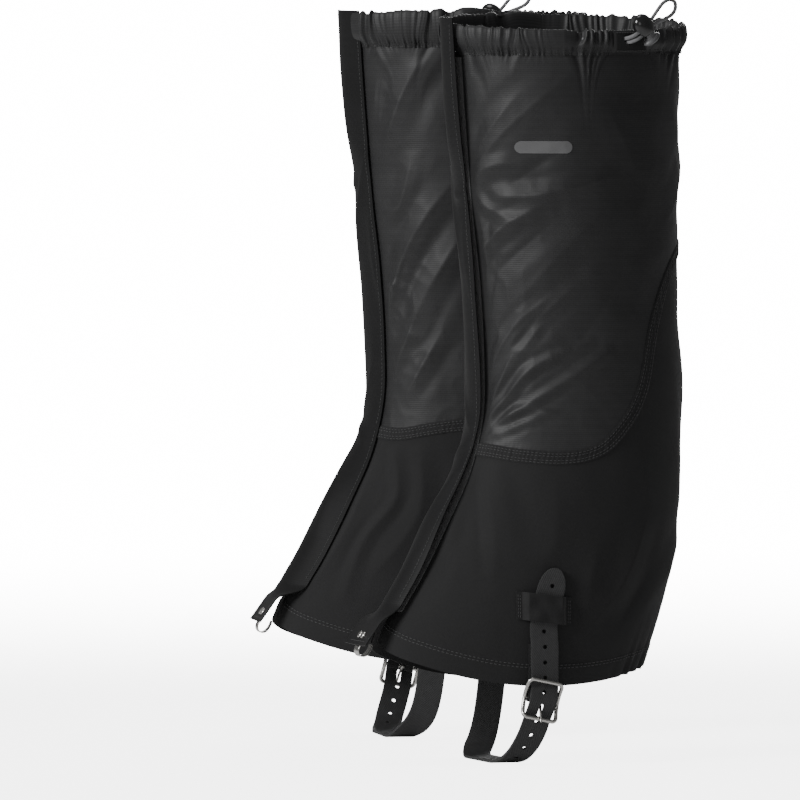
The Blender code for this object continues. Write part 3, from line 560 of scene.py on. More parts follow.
class Finish:
    """A procedural material under construction."""

    def __init__(self, name, colour, roughness, **constants):
        self.material = bpy.data.materials.new(name)
        self.material.use_nodes = True
        self.tree = self.material.node_tree
        self.shader = self.tree.nodes["Principled BSDF"]
        self.shader.inputs["Base Color"].default_value = (*colour, 1)
        self.shader.inputs["Roughness"].default_value = roughness
        for socket, value in constants.items():
            self.shader.inputs[socket.replace("_", " ")].default_value = value
        self.colour = colour
        self.normal = None

    def node(self, kind, inputs, **settings):
        made = self.tree.nodes.new(kind)
        for setting, value in settings.items():
            setattr(made, setting, value)
        for socket, value in inputs.items():
            if isinstance(value, bpy.types.NodeSocket):
                self.tree.links.new(value, made.inputs[socket])
            else:
                made.inputs[socket].default_value = value
        return made

    def place(self, source="UV", turn=0.0):
        """Where on the piece a point is, in metres, turned in the sheet's own plane."""
        coordinates = self.node("ShaderNodeTexCoord", {})
        return self.node("ShaderNodeMapping", {"Vector": coordinates.outputs[source],
                                               "Rotation": (0, 0, turn)}).outputs["Vector"]

    def ribs(self, place, pitch, direction, wobble=0.0):
        """Ribs that repeat every pitch metres, from 0 to 1."""
        inputs = {"Vector": place, "Scale": math.pi / 10 / pitch, "Distortion": wobble, "Detail": 1.0,
                  "Detail Scale": 3.0}
        wave = self.node("ShaderNodeTexWave", inputs, wave_type="BANDS", bands_direction=direction)
        return wave.outputs["Fac"]

    def speckle(self, place, size, detail=2.0):
        inputs = {"Vector": place, "Scale": 1 / size, "Detail": detail}
        return self.node("ShaderNodeTexNoise", inputs).outputs["Fac"]

    def combine(self, operation, a, b):
        return self.node("ShaderNodeMath", {0: a, 1: b}, operation=operation).outputs[0]

    def weighted(self, *terms):
        """The sum of (value, weight) pairs."""
        total = None
        for value, weight in terms:
            share = self.combine("MULTIPLY", value, weight)
            total = share if total is None else self.combine("ADD", total, share)
        return total

    def spread(self, value, low, high):
        """Maps 0 to 1 onto low to high."""
        inputs = {"Value": value, "To Min": low, "To Max": high}
        return self.node("ShaderNodeMapRange", inputs).outputs["Result"]

    def tint(self, value, dark, light):
        """Colours the surface between two multiples of its colour."""
        mixed = self.node("ShaderNodeMix", {"Factor": value}, data_type="RGBA")
        mixed.inputs["A"].default_value = (*(dark * part for part in self.colour), 1)
        mixed.inputs["B"].default_value = (*(light * part for part in self.colour), 1)
        self.tree.links.new(mixed.outputs["Result"], self.shader.inputs["Base Color"])

    def rough(self, value, low, high):
        self.tree.links.new(self.spread(value, low, high), self.shader.inputs["Roughness"])

    def raised(self, height, distance, strength=1.0):
        """Adds relief of the given height in metres."""
        inputs = {"Height": height, "Distance": distance, "Strength": strength}
        if self.normal is not None:
            inputs["Normal"] = self.normal
        self.normal = self.node("ShaderNodeBump", inputs).outputs["Normal"]
        self.tree.links.new(self.normal, self.shader.inputs["Normal"])


def ripstop(name, colour, gloss):
    """Coated nylon: fine courses across, faint ones up, and a stronger thread every fourth course.

    gloss is the specular level of its coating.
    """
    finish = Finish(name, colour, 0.5, Sheen_Weight=0.04, Sheen_Roughness=0.5, Specular_IOR_Level=gloss)
    place = finish.place()
    courses = finish.ribs(place, 1.3 * MM, "Y", 0.25)
    wales = finish.ribs(place, 1.1 * MM, "X", 0.25)
    heavy = finish.ribs(place, 5.2 * MM, "Y")
    weave = finish.weighted((courses, 0.62), (wales, 0.22), (heavy, 0.16))
    cloud = finish.speckle(place, 22 * MM, 4)
    finish.tint(finish.weighted((weave, 0.55), (cloud, 0.45)), 0.55, 1.5)
    finish.rough(cloud, 0.44, 0.6)
    finish.raised(weave, 0.05 * MM, 0.8)
    finish.raised(finish.speckle(place, 2.6 * MM, 3), 0.12 * MM, 0.5)
    return finish.material


def pack_cloth():
    """Heavy plain-woven nylon, matte."""
    finish = Finish("pack_cloth_finish", (0.0125, 0.0125, 0.0129), 0.85, Sheen_Weight=0.05,
                    Sheen_Roughness=0.6, Specular_IOR_Level=0.3)
    place = finish.place()
    weft = finish.ribs(place, 0.8 * MM, "Y", 0.6)
    warp = finish.ribs(place, 0.8 * MM, "X", 0.6)
    weave = finish.combine("MULTIPLY", weft, warp)
    cloud = finish.speckle(place, 30 * MM, 5)
    grain = finish.speckle(place, 0.9 * MM, 2)
    finish.tint(finish.weighted((weave, 0.35), (cloud, 0.4), (grain, 0.25)), 0.6, 1.5)
    finish.rough(cloud, 0.74, 0.92)
    finish.raised(weave, 0.08 * MM, 0.7)
    finish.raised(grain, 0.08 * MM, 0.5)
    return finish.material


def webbing():
    """Plain-woven tape with a coarse rib."""
    finish = Finish("webbing_finish", (0.014, 0.014, 0.0145), 0.75, Sheen_Weight=0.08, Sheen_Roughness=0.5,
                    Specular_IOR_Level=0.35)
    place = finish.place()
    weft = finish.ribs(place, 1.2 * MM, "Y", 0.4)
    ribs = finish.combine("MULTIPLY", weft, finish.ribs(place, 1.0 * MM, "X", 0.3))
    finish.tint(finish.weighted((ribs, 0.6), (finish.speckle(place, 6 * MM, 3), 0.4)), 0.5, 1.9)
    finish.raised(ribs, 0.15 * MM, 0.9)
    return finish.material


def fuzz():
    """The pile of hook and loop tape."""
    finish = Finish("hook_and_loop_finish", (0.016, 0.016, 0.017), 0.95, Sheen_Weight=0.4,
                    Sheen_Roughness=0.7, Specular_IOR_Level=0.2)
    place = finish.place()
    pile = finish.speckle(place, 0.7 * MM, 3)
    finish.tint(pile, 0.3, 2.2)
    finish.raised(pile, 0.5 * MM, 1.0)
    return finish.material


def rubber():
    """A rubber-coated strap with fine slanting ribs and speckled dust."""
    finish = Finish("strap_finish", (0.030, 0.0302, 0.0308), 0.6, Specular_IOR_Level=0.4)
    place = finish.place(turn=math.radians(38))
    ribs = finish.ribs(place, 1.15 * MM, "X", 0.1)
    dust = finish.speckle(finish.place(), 5 * MM, 4)
    finish.tint(finish.weighted((ribs, 0.5), (dust, 0.5)), 0.45, 1.7)
    finish.rough(dust, 0.5, 0.75)
    finish.raised(ribs, 0.16 * MM, 0.8)
    return finish.material


def nickel():
    """Nickel plate with fine handling marks."""
    finish = Finish("nickel_finish", (0.6, 0.59, 0.565), 0.24, Metallic=1.0)
    place = finish.place("Object")
    scratches = finish.speckle(place, 1.5 * MM, 5)
    finish.tint(scratches, 0.82, 1.08)
    finish.rough(scratches, 0.16, 0.38)
    finish.raised(scratches, 0.02 * MM, 0.5)
    return finish.material


def braid():
    """Elastic cord with a braided sleeve: two sets of slanting plaits."""
    finish = Finish("braid_finish", (0.16, 0.16, 0.165), 0.7, Sheen_Weight=0.2, Sheen_Roughness=0.5,
                    Specular_IOR_Level=0.35)
    one = finish.ribs(finish.place(turn=math.radians(32)), 0.75 * MM, "Y")
    other = finish.ribs(finish.place(turn=math.radians(-32)), 0.75 * MM, "Y")
    plait = finish.combine("MAXIMUM", one, other)
    finish.tint(plait, 0.35, 1.3)
    finish.raised(plait, 0.12 * MM, 0.9)
    return finish.material


def plastic(name, colour, low, high, **constants):
    """Moulded plastic, with its roughness between low and high where it is scuffed."""
    finish = Finish(name, colour, low, **constants)
    place = finish.place("Object")
    grain = finish.speckle(place, 0.5 * MM, 3)
    scuffs = finish.speckle(place, 4 * MM, 5)
    finish.tint(scuffs, 0.85, 1.2)
    finish.rough(scuffs, low, high)
    finish.raised(grain, 0.015 * MM, 0.4)
    return finish.material


def thread(name, colour):
    """Twisted sewing thread."""
    finish = Finish(name, colour, 0.7, Sheen_Weight=0.2, Specular_IOR_Level=0.35)
    place = finish.place("Object")
    twist = finish.speckle(place, 0.4 * MM, 2)
    finish.tint(twist, 0.6, 1.4)
    return finish.material


def film():
    """Heat-applied reflective film, grainy with glass beads."""
    finish = Finish("reflective_finish", (0.105, 0.105, 0.107), 0.45, Specular_IOR_Level=0.5)
    place = finish.place()
    beads = finish.speckle(place, 0.35 * MM, 2)
    finish.tint(beads, 0.75, 1.25)
    finish.rough(beads, 0.35, 0.55)
    finish.raised(beads, 0.02 * MM, 0.6)
    return finish.material


NYLON = ripstop("upper_nylon_finish", (0.0185, 0.0185, 0.0191), 0.32)
FLAP_NYLON = ripstop("flap_nylon_finish", (0.0052, 0.0052, 0.0055), 0.24)
PACK_CLOTH = pack_cloth()
WEBBING_CLOTH = webbing()
FUZZ = fuzz()
RUBBER = rubber()
NICKEL = nickel()
BRAID = braid()
GLOSS = plastic("lock_body_finish", (0.012, 0.012, 0.0125), 0.1, 0.2, Coat_Weight=0.3, Coat_Roughness=0.08)
SATIN = plastic("lock_button_finish", (0.1, 0.1, 0.104), 0.35, 0.5)
THREAD = thread("thread_finish", (0.055, 0.055, 0.056))
DARK_THREAD = thread("dark_thread_finish", (0.02, 0.02, 0.0205))
FILM = film()


# ---------------------------------------------------------------- placing pieces

def show(name, mesh, finish, body="gaiter_pair", nodes=(), bend=None):
    """Places a piece on the left and its mirror image on the right, each named for its side.
    """
    mesh.materials.clear()
    mesh.materials.append(finish)
    made = {}
    for side, place in SIDES.items():
        data = mesh.copy()
        data.transform(place)
        if side == "right":
            data.flip_normals()
        piece = bpy.data.objects.new(side + "_" + name, data)
        bpy.context.scene.collection.objects.link(piece)
        if bend:
            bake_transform(piece)
        else:
            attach(piece, body if body == "gaiter_pair" else side + "_" + body)
        if nodes:
            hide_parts(*(side + "_" + node for node in nodes))
        made[side] = piece
    return made


def set_camera():
    """The viewing angle: from the wearer's left, a little to the front, nearly level."""
    azimuth = math.radians(75.91)
    elevation = math.radians(2.49)
    target = Vector((0, -0.0464, 0.2284))
    towards = Vector((math.sin(azimuth) * math.cos(elevation), -math.cos(azimuth) * math.cos(elevation),
                      math.sin(elevation)))
    data = bpy.data.cameras.new("view")
    data.sensor_width = 36
    data.clip_end = 100
    data.lens = 693.9
    camera = bpy.data.objects.new("view", data)
    bpy.context.scene.collection.objects.link(camera)
    camera.location = target + towards * 10.1
    camera.rotation_euler = towards.to_track_quat("Z", "Y").to_euler()
    bpy.context.scene.camera = camera


# ---------------------------------------------------------------- cord and lock

def lock_place():
    """X along the button's travel, Y along the cord strands, Z away from the leg."""
    out = Vector(outward(LOCK_ANGLE, LOCK_Z))
    out = Vector((out.x, out.y, 0)).normalized()
    up = Vector((0, 0, 1))
    rearward = up.cross(out)
    axis = rearward * math.cos(LOCK_TILT) - up * math.sin(LOCK_TILT)
    cord = rearward * math.sin(LOCK_TILT) + up * math.cos(LOCK_TILT)
    basis = Matrix((axis, cord, out)).transposed().to_4x4()
    return Matrix.Translation(Vector(surface(LOCK_ANGLE, LOCK_Z)) + out * LOCK_OUT) @ basis


def cord_loops():
    """The free loop of elastic cord."""
    route = smooth_path([lock @ (Vector(point) * MM) for point in LOOP_ROUTE], 5)
    mesh = sweep("cord", route, CORD, 14)
    start = lock @ Vector((0, -9 * MM, 0))
    end = lock @ Vector((0, -2 * MM, 0))
    loops = show("cord_strands", mesh, BRAID, nodes=["cord_loop"],
                 bend=("cord_lock", start, end))


def egg(radii, centre):
    """An ellipsoid with its poles on X."""
    bm = bmesh.new()
    bmesh.ops.create_uvsphere(bm, u_segments=48, v_segments=24, radius=1,
                              matrix=Matrix.Rotation(math.pi / 2, 4, "Y"))
    place = Matrix.Translation(centre) @ Matrix.Diagonal((*radii, 1))
    bmesh.ops.transform(bm, verts=bm.verts, matrix=place)
    return bm


def solid(bm, name):
    mesh = bpy.data.meshes.new(name)
    bm.normal_update()
    bm.to_mesh(mesh)
    bm.free()
    return mesh


def cylinder(radius, length, matrix, segments=40):
    bm = bmesh.new()
    bmesh.ops.create_cone(bm, cap_ends=True, segments=segments, radius1=radius, radius2=radius,
                          depth=length, matrix=matrix)
    return bm


def block(size, matrix, bevel):
    bm = bmesh.new()
    bmesh.ops.create_cube(bm, size=1, matrix=matrix @ Matrix.Diagonal((*size, 1)))
    bmesh.ops.bevel(bm, geom=bm.edges[:], offset=bevel, segments=3, profile=0.5, affect="EDGES")
    return bm


def carved(mesh, cuts, folded=False):
    """The mesh after Boolean cuts and unions with other meshes. A folded mesh may touch itself."""
    tools = []
    for operation, tool in cuts:
        helper = bpy.data.objects.new("tool", tool)
        bpy.context.scene.collection.objects.link(helper)
        tools.append(("BOOLEAN", {"operation": operation, "solver": "EXACT", "object": helper,
                                  "use_self": folded}))
    made = modified(mesh, *tools)
    for _, settings in tools:
        bpy.data.objects.remove(settings["object"])
    made.shade_smooth()
    made.set_sharp_from_angle(angle=math.radians(38))
    return made


def cord_lock():
    """A glossy bean with a sprung button that grips the two strands of cord."""
    along = Matrix.Rotation(math.pi / 2, 4, "Y")
    bean = egg((8.5 * MM, 7 * MM, 5.6 * MM), (-2.5 * MM, 0, 0))
    everything = bean.verts[:] + bean.edges[:] + bean.faces[:]
    bmesh.ops.bisect_plane(bean, geom=everything, plane_co=(3.4 * MM, 0, 0), plane_no=(1, 0, 0),
                           clear_outer=True)
    rim = bmesh.ops.holes_fill(bean, edges=[edge for edge in bean.edges if edge.is_boundary])
    rim_edges = list({edge for face in rim["faces"] for edge in face.edges})
    bmesh.ops.bevel(bean, geom=rim_edges, offset=0.5 * MM, segments=3, profile=0.5, affect="EDGES")
    bmesh.ops.recalc_face_normals(bean, faces=bean.faces)
    bore = solid(cylinder(4.3 * MM, 16 * MM, Matrix.Translation((1.7 * MM, 0, 0)) @ along), "bore")
    pocket = solid(cylinder(2.4 * MM, 6 * MM, Matrix.Translation((-6.3 * MM, 0, 0)) @ along), "pocket")
    slot = solid(block((6.4 * MM, 20 * MM, 4.2 * MM), Matrix(), 1.2 * MM), "slot")
    body = carved(solid(bean, "lock_body"), [("DIFFERENCE", tool) for tool in (bore, pocket, slot)])
    body.transform(lock)
    show("lock_bean", body, GLOSS, body="cord_lock", nodes=["cord_lock_body"])

    stem = solid(cylinder(4.0 * MM, 12.4 * MM, Matrix.Translation((2.2 * MM, 0, 0)) @ along), "stem")
    head = solid(egg((2.6 * MM, 6.6 * MM, 5.0 * MM), (8.4 * MM, 0, 0)), "head")
    gap = solid(block((9.0 * MM, 20 * MM, 4.0 * MM), Matrix.Translation((1.3 * MM, 0, 0)), 1.2 * MM), "gap")
    grooves = []
    for step in (-2, 0, 2):
        groove = cylinder(0.45 * MM, 14 * MM, Matrix.Translation((10.9 * MM, step * MM, 0)), 16)
        grooves.append(("DIFFERENCE", solid(groove, "groove")))
    button = carved(stem, [("UNION", head), ("DIFFERENCE", gap), *grooves])
    button.transform(lock)
    show("lock_plunger", button, SATIN, body="lock_button", nodes=["cord_lock_button"])

    coil = []
    for step in range(97):
        turn = 2 * math.pi * 2 * step / 96
        coil.append(lock @ Vector((-8.6 * MM + 2.0 * MM * step / 96, 1.8 * MM * math.cos(turn),
                                   1.8 * MM * math.sin(turn))))
    show("lock_coil", sweep("coil", coil, 0.3 * MM, 10), NICKEL, body="cord_lock",
         nodes=["cord_lock_spring"])


def exit_patch():
    """The plain patch where the cord leaves the casing, with a hole for the cord."""
    columns, rows = 46, 30
    u, v = np.meshgrid(np.linspace(0, 1, columns + 1), np.linspace(0, 1, rows + 1))
    angle = LOCK_ANGLE + np.radians(-13.5 + 18 * u)
    z = (459.5 + 13.5 * v) * MM
    edge = np.minimum.reduce((u, 1 - u, v * 0.7, (1 - v) * 0.7))
    offset = 5.5 * MM + 0.9 * MM * ease(edge / 0.06)
    uv = np.stack((angle * PATCH_RADIUS, z), -1)
    mesh = thick(grid_mesh("patch", off_surface(angle, z, offset), uv), 0.5 * MM)
    opening = lock @ Matrix.Translation((0, -11.9 * MM, -7 * MM)) @ Matrix.Diagonal((1.9, 1, 1, 1))
    cutter = solid(cylinder(2.0 * MM, 7 * MM, opening, 32), "hole")
    show("exit_panel", carved(mesh, [("DIFFERENCE", cutter)]), PACK_CLOTH,
         nodes=["cord_exit_patch"])
    sewn = []
    for low in (460.4, 472.2):
        t = np.linspace(0, 1, 60)
        around = LOCK_ANGLE + np.radians(-12.5 + 16 * t)
        height = np.full(60, low * MM)
        sewn.append(stitch_row(off_surface(around, height, 6.7 * MM), outward(around, height),
                               1.9 * MM, 1.3 * MM))
    show("exit_stitches", joined(sewn), THREAD)


# ---------------------------------------------------------------- fabric tube

def on_cloth(angle, z, offset):
    """Points over the folded cloth, that far outside the even tube's inner face."""
    return off_surface(angle, z, folds(angle, z) + offset)


def tube_grid(columns, rows, bottom, top):
    """Angles and heights on a tube that is open along the front."""
    u, v = np.meshgrid(np.linspace(0, 1, columns + 1), np.linspace(0, 1, rows + 1))
    first = 2 * np.pi * u
    z = bottom(first) + (top(first) - bottom(first)) * v
    edge = angle_at_x(OPENING, z)
    angle = edge + u * (2 * np.pi - 2 * edge)
    return angle, bottom(angle) + (top(angle) - bottom(angle)) * v


def cloth_uv(angle, z):
    return np.stack((np.degrees(angle) * AROUND * MM, z), -1)


def upper_panel():
    angle, z = tube_grid(520, 170, lambda a: seam_height(a) - 2 * MM, lambda a: CASING_BOTTOM + 0 * a)
    mesh = thick(grid_mesh("upper", on_cloth(angle, z, 0.5 * MM), cloth_uv(angle, z)), 0.5 * MM)
    show("upper_panel", mesh, NYLON, nodes=["upper_shell"])


def lower_panel():
    angle, z = tube_grid(260, 110, lambda a: at_angle(HEM, a), lambda a: seam_height(a) + 2 * MM)
    hem = at_angle(HEM, angle)
    folded = ease((hem + 14 * MM - z) / (1.5 * MM))
    offset = 0.3 * MM + 0.35 * MM * folded
    mesh = thick(grid_mesh("lower", on_cloth(angle, z, offset), cloth_uv(angle, z)), 0.7 * MM)
    show("lower_panel", mesh, PACK_CLOTH, nodes=["lower_shell"])


def seam_line(away):
    """Angles and heights along the seam, moved off it by a distance in metres, upwards positive."""
    degrees = np.linspace(7, 353, 700)
    heights = seam_height(np.radians(degrees)) / MM
    run = np.gradient(degrees * AROUND)
    rise = np.gradient(heights)
    size = np.hypot(run, rise)
    return (np.radians(degrees - rise / size * away / MM / AROUND), (heights + run / size * away / MM) * MM)


def seam_band():
    """The doubled cloth over the seam, with four rows of stitches."""
    rows = np.linspace(-4.2, 4.2, 13)
    lines = [seam_line(away * MM) for away in rows]
    angle = np.array([line[0] for line in lines])
    z = np.array([line[1] for line in lines])
    edge = 1 - ease((np.abs(rows) - 3.4) / 0.8)
    ruck = 0.12 * MM * np.sin(np.degrees(angle) * 2.3 + np.sin(np.degrees(angle) * 0.37) * 2)
    offset = 0.75 * MM + (0.55 * MM + ruck) * edge[:, None]
    uv = np.stack((np.degrees(angle) * AROUND * MM, z), -1)
    mesh = thick(grid_mesh("band", on_cloth(angle, z, offset), uv), 0.5 * MM)
    show("seam_band", mesh, PACK_CLOTH)
    sewn = []
    for away in (-3.1, -1.5, 1.2, 2.8):
        angle, z = seam_line(away * MM)
        sewn.append(stitch_row(on_cloth(angle, z, 1.62 * MM), outward(angle, z),
                               2.6 * MM, 1.8 * MM, 0.16 * MM))
    show("seam_stitches", joined(sewn), THREAD)


def hem_stitches():
    """Two rows of stitches above the folded hem."""
    degrees = np.linspace(8, 352, 700)
    angle = np.radians(degrees)
    sewn = []
    for above in (11.6, 13.4):
        z = at_angle(HEM, angle) + above * MM
        sewn.append(stitch_row(on_cloth(angle, z, 1.02 * MM), outward(angle, z),
                               2.9 * MM, 2.1 * MM, 0.2 * MM))
    show("hem_stitches", joined(sewn), THREAD)


# ---------------------------------------------------------------- drawcord casing

# (offset from the tube, height) in millimetres: up the outside, over the rim and down the inside
CASING_SECTION = ((0.95, 457.5), (1.2, 459.6), (2.6, 462.2), (4.3, 465.2), (4.9, 468.8), (4.8, 472.4),
                  (4.2, 475.4), (3.2, 476.8), (2.2, 475.6), (1.3, 472.4), (0.7, 468.0), (0.4, 463.0),
                  (0.1, 457.5))
CORD_Z = 470.5 * MM
# how far a whole pleat moves the casing's outer wall outwards and its inner wall inwards
PLEAT_OUT = 1.9
PLEAT_IN = 0.9


def rim_rise(degrees):
    """The gathered rim sags on the lateral side and stands up on the medial one, in millimetres."""
    return 1.2 + 4.4 * np.cos(np.radians(degrees - 278))


def slant(degrees):
    """How far the top of each pleat leans round the leg, in radians."""
    lean = 1.9 * np.sin(np.radians(degrees * 9.1 + 50)) + 1.1 * np.sin(np.radians(degrees * 23.7))
    return np.radians(lean * plain_at_lock(degrees))


def gathered_casing():
    """Cloth folded over the drawcord and gathered on it into uneven pleats."""
    section = smooth_path([Vector((*point, 0)) for point in CASING_SECTION], 4)
    offset = np.array([point.x for point in section])[:, None]
    height = np.array([point.y for point in section])[:, None]
    share = np.linspace(0, 1, len(section))[:, None]
    first = angle_at_x(FLAP_LATERAL - 6 * MM, CASING_BOTTOM)
    last = 2 * np.pi + angle_at_x(FLAP_MEDIAL + 6 * MM, CASING_BOTTOM)
    angle = np.linspace(first, last, 900)[None, :]
    degrees = np.degrees(angle)
    pleat = gather(angle)
    crinkle = crinkles(degrees)
    outside = np.sin(np.pi * np.clip(share * 1.5, 0, 1))**0.7
    inside = np.sin(np.pi * np.clip((share - 0.55) / 0.45, 0, 1))
    over_seam = np.exp(-((height - 460.5) / 3.2)**2) * (share < 0.5)
    calm = np.where(degrees < 180, ease((degrees - 15) / 6), ease((341 - degrees) / 6))
    offset = offset + calm * (pleat * (PLEAT_OUT * outside - PLEAT_IN * inside)
                              + crinkle * (0.75 * over_seam + 0.3 * outside))
    climb = ease((height - 461) / 14)
    height = height + climb * (rim_rise(degrees) + calm * (1.5 * pleat + 0.5 * crinkle))
    angle = angle + slant(degrees) * climb * calm + 0 * share
    base = puckers(angle, np.full(angle.shape, CASING_BOTTOM)) * (1 - ease(share / 0.1))
    points = off_surface(angle, height * MM + 0 * angle, offset * MM + base)
    steps = [(b - a).length for a, b in zip(section, section[1:])]
    run = np.concatenate(([0], np.cumsum(steps)))[:, None] * MM
    uv = np.stack((angle * CASING_RADIUS, run + 0 * angle), -1)
    mesh = thick(grid_mesh("casing", points, uv), 0.35 * MM)
    show("gathered_casing", mesh, NYLON, nodes=["top_casing"])
    sewn = []
    for above, lift in ((458.6, 1.5), (460.6, 1.95)):
        for low, high in ((18, 99), (117, 338)):
            angle = np.radians(np.linspace(low, high, 6 * (high - low)))
            z = above * MM + 0.5 * MM * gather(angle)
            over = folds(angle, np.full(angle.shape, CASING_BOTTOM)) + lift * MM
            over = over + 0.6 * MM * crinkles(np.degrees(angle))
            sewn.append(stitch_row(off_surface(angle, z, over), outward(angle, z), 2.1 * MM, 1.5 * MM))
    show("casing_stitches", joined(sewn), DARK_THREAD)


def hidden_drawcord():
    """The elastic cord inside the casing, which follows the rim and is pinched between the pleats."""
    degrees = np.linspace(17, 341, 480)
    pleat = gather(np.radians(degrees))
    angle = np.radians(degrees) + slant(degrees) * 0.68
    z = CORD_Z + (rim_rise(degrees) + pleat - 0.4) * MM * 0.7
    outer = 4.8 + PLEAT_OUT * pleat
    inner = 1.0 - PLEAT_IN * pleat
    room = np.clip((outer - inner) / 2 - 0.55, 0.1, 1.25) / 1.25
    route = [Vector(point) for point in off_surface(angle, z, (outer + inner) / 2 * MM)]
    mesh = sweep("drawcord", route, CORD, 10,
                 profile=lambda t: float(np.interp(t, np.linspace(0, 1, len(room)), room)))
    show("drawcord_run", mesh, BRAID, nodes=["drawcord"])


def heel_gathers():
    """The elastic inside the rear of the hem, with its own gathers."""
    u, v = np.meshgrid(np.linspace(0, 1, 200), np.linspace(0, 1, 9))
    angle = np.radians(130 + 100 * u)
    z = at_angle(HEM, angle) + (3 + 8 * v) * MM
    offset = -1.3 * MM + 0.4 * MM * np.sin(np.degrees(angle) * 0.9)
    mesh = thick(grid_mesh("elastic", off_surface(angle, z, offset), cloth_uv(angle, z)), 0.7 * MM)
    show("heel_gathers", mesh, WEBBING_CLOTH, nodes=["heel_elastic"])


def reflective_bar():
    """A plain rounded bar of reflective film on the lateral side."""
    half_length = 17 * MM
    radius = 4 * MM
    u, v = np.meshgrid(np.linspace(-1, 1, 61), np.linspace(-1, 1, 21))
    across = v * radius
    reach = half_length - radius + np.sqrt(np.maximum(radius**2 - across**2, (0.9 * MM)**2))
    z = 398.5 * MM + across
    angle = angle_at_y(SIDE_Y + u * reach, z)
    mesh = thick(grid_mesh("bar", on_cloth(angle, z, 0.95 * MM), cloth_uv(angle, z)), 0.25 * MM)
    show("reflective_bar", mesh, FILM, nodes=["reflective_mark"])


# ---------------------------------------------------------------- front flap

# (height, how far the free edge stands off the shell) in millimetres
FREE_EDGE = sampled(((96, 6.0), (120, 7.4), (150, 8.2), (180, 6.4), (205, 3.9), (214, 3.8), (240, 5.6),
                     (290, 6.6), (340, 5.4), (366, 3.9), (376, 3.9), (400, 6.2), (440, 7.6), (474, 7.0)))
# (height, place of the free edge) in millimetres
EDGE_X = sampled(((96, 16), (130, 16.5), (170, 15), (206, 14.6), (230, 16.4), (260, 17), (300, 16.2),
                  (345, 16.5), (372, 14.6), (392, 16), (440, 17), (474, 16)))
# ((place across, height) points, height and half width), all in millimetres
FLAP_FOLDS = (
    (((-19, 388), (-10, 368), (0, 340), (4, 312)), 1.6, 4),
    (((-16, 352), (-14, 320), (-18, 290)), 1.0, 3),
    (((16, 374), (6, 366), (-4, 368)), 1.1, 3),
    (((15, 210), (4, 220), (-6, 240), (-10, 268)), 1.2, 4),
    (((14, 206), (2, 202), (-14, 190)), 1.2, 4),
    (((10, 190), (0, 160), (-6, 130)), 1.1, 5),
    (((12, 300), (9, 330), (11, 352)), 0.8, 3),
    (((-4, 440), (2, 410), (-2, 388)), 0.7, 5),
)


def flap_offset(x, z):
    share = (x - FLAP_MEDIAL) / (FLAP_LATERAL - FLAP_MEDIAL)
    free = np.interp(z / MM, *FREE_EDGE) * MM
    return FLAP_SEWN - 0.5 * MM + (free - FLAP_SEWN + 0.5 * MM) * ease(share / 0.75)


def flap_surface(x, z, below=0.0):
    """Points on the flap, where x is its place across and z its height."""
    offset = flap_offset(x, z)
    for points, height, half_width in FLAP_FOLDS:
        scaled = tuple((across / AROUND, up) for across, up in points)
        signed, along = to_path(x / MM, z / MM, scaled)
        taper = np.sin(np.pi * np.clip(0.05 + 0.9 * along, 0, 1))
        offset = offset + height * MM * np.exp(-np.abs(signed / half_width)**1.6) * taper * (below == 0)
    return off_surface(angle_at_x(x, z), z, offset - below + 0.5 * MM)


def tab_place():
    """X across the tab, Y down along it, Z out of its outer face."""
    def flat_point(x, z):
        share = (x - FLAP_MEDIAL) / (FLAP_LATERAL - FLAP_MEDIAL)
        offset = FLAP_SEWN + (FLAP_STACK - FLAP_SEWN) * ease(share / 0.6)
        return Vector(off_surface(angle_at_x(x, z), z, offset))
    across = Vector((-1, 0, 0))
    down = TAB_DIRECTION
    root = flat_point((FLAP_MEDIAL + FLAP_LATERAL) / 2, TAB_ROOT)
    centre = (flat_point(FLAP_MEDIAL, TAB_ROOT) + flat_point(FLAP_LATERAL, TAB_ROOT)) / 2
    out = across.cross(down).normalized()
    basis = Matrix((across, down, out)).transposed().to_4x4()
    return Matrix.Translation((centre.x, root.y, root.z)) @ basis


FLAP_JOIN = 204 * MM
FLAP_BEND_END = 300 * MM


def flap_width(z, t):
    """Places across the flap, from its sewn edge to its free edge."""
    free = np.interp(z / MM, *EDGE_X) * MM
    return FLAP_MEDIAL + (free - FLAP_MEDIAL) * t


def flap_bend():
    """A stretch up the front, from 6 mm above the flaps' join to 300 mm."""
    return ("flap", surface(0, FLAP_JOIN + 6 * MM), surface(0, FLAP_BEND_END))


def tab_bend():
    """A stretch along the tab, from 14 mm above its root to 6 mm down it."""
    start = tab @ Vector((0, -14 * MM, 0))
    return ("tab", start, tab @ Vector((0, 6 * MM, 0)))


def upper_flap():
    t, z = np.meshgrid(np.linspace(0, 1, 37), np.linspace(FLAP_JOIN, FLAP_TOP, 190))
    x = flap_width(z, t)
    mesh = thick(grid_mesh("flap", flap_surface(x, z), np.stack((x, z), -1)), 0.7 * MM)
    show("flap_upper_cloth", mesh, FLAP_NYLON, nodes=["front_flap_upper"], bend=flap_bend())
    heights = np.linspace(FLAP_JOIN + 3 * MM, FLAP_TOP - 3 * MM, 500)
    sewn = [flap_stitches(heights, -17.4), flap_stitches(heights, 13.2)]
    show("flap_upper_stitches", joined(sewn), THREAD, bend=flap_bend())


def flap_stitches(heights, x):
    places = flap_surface(np.full(heights.shape, x * MM), heights, 0.0)
    outs = outward(angle_at_x(x * MM, heights), heights)
    return stitch_row(places + outs * 0.42 * MM, outs, 2.6 * MM, 1.8 * MM)


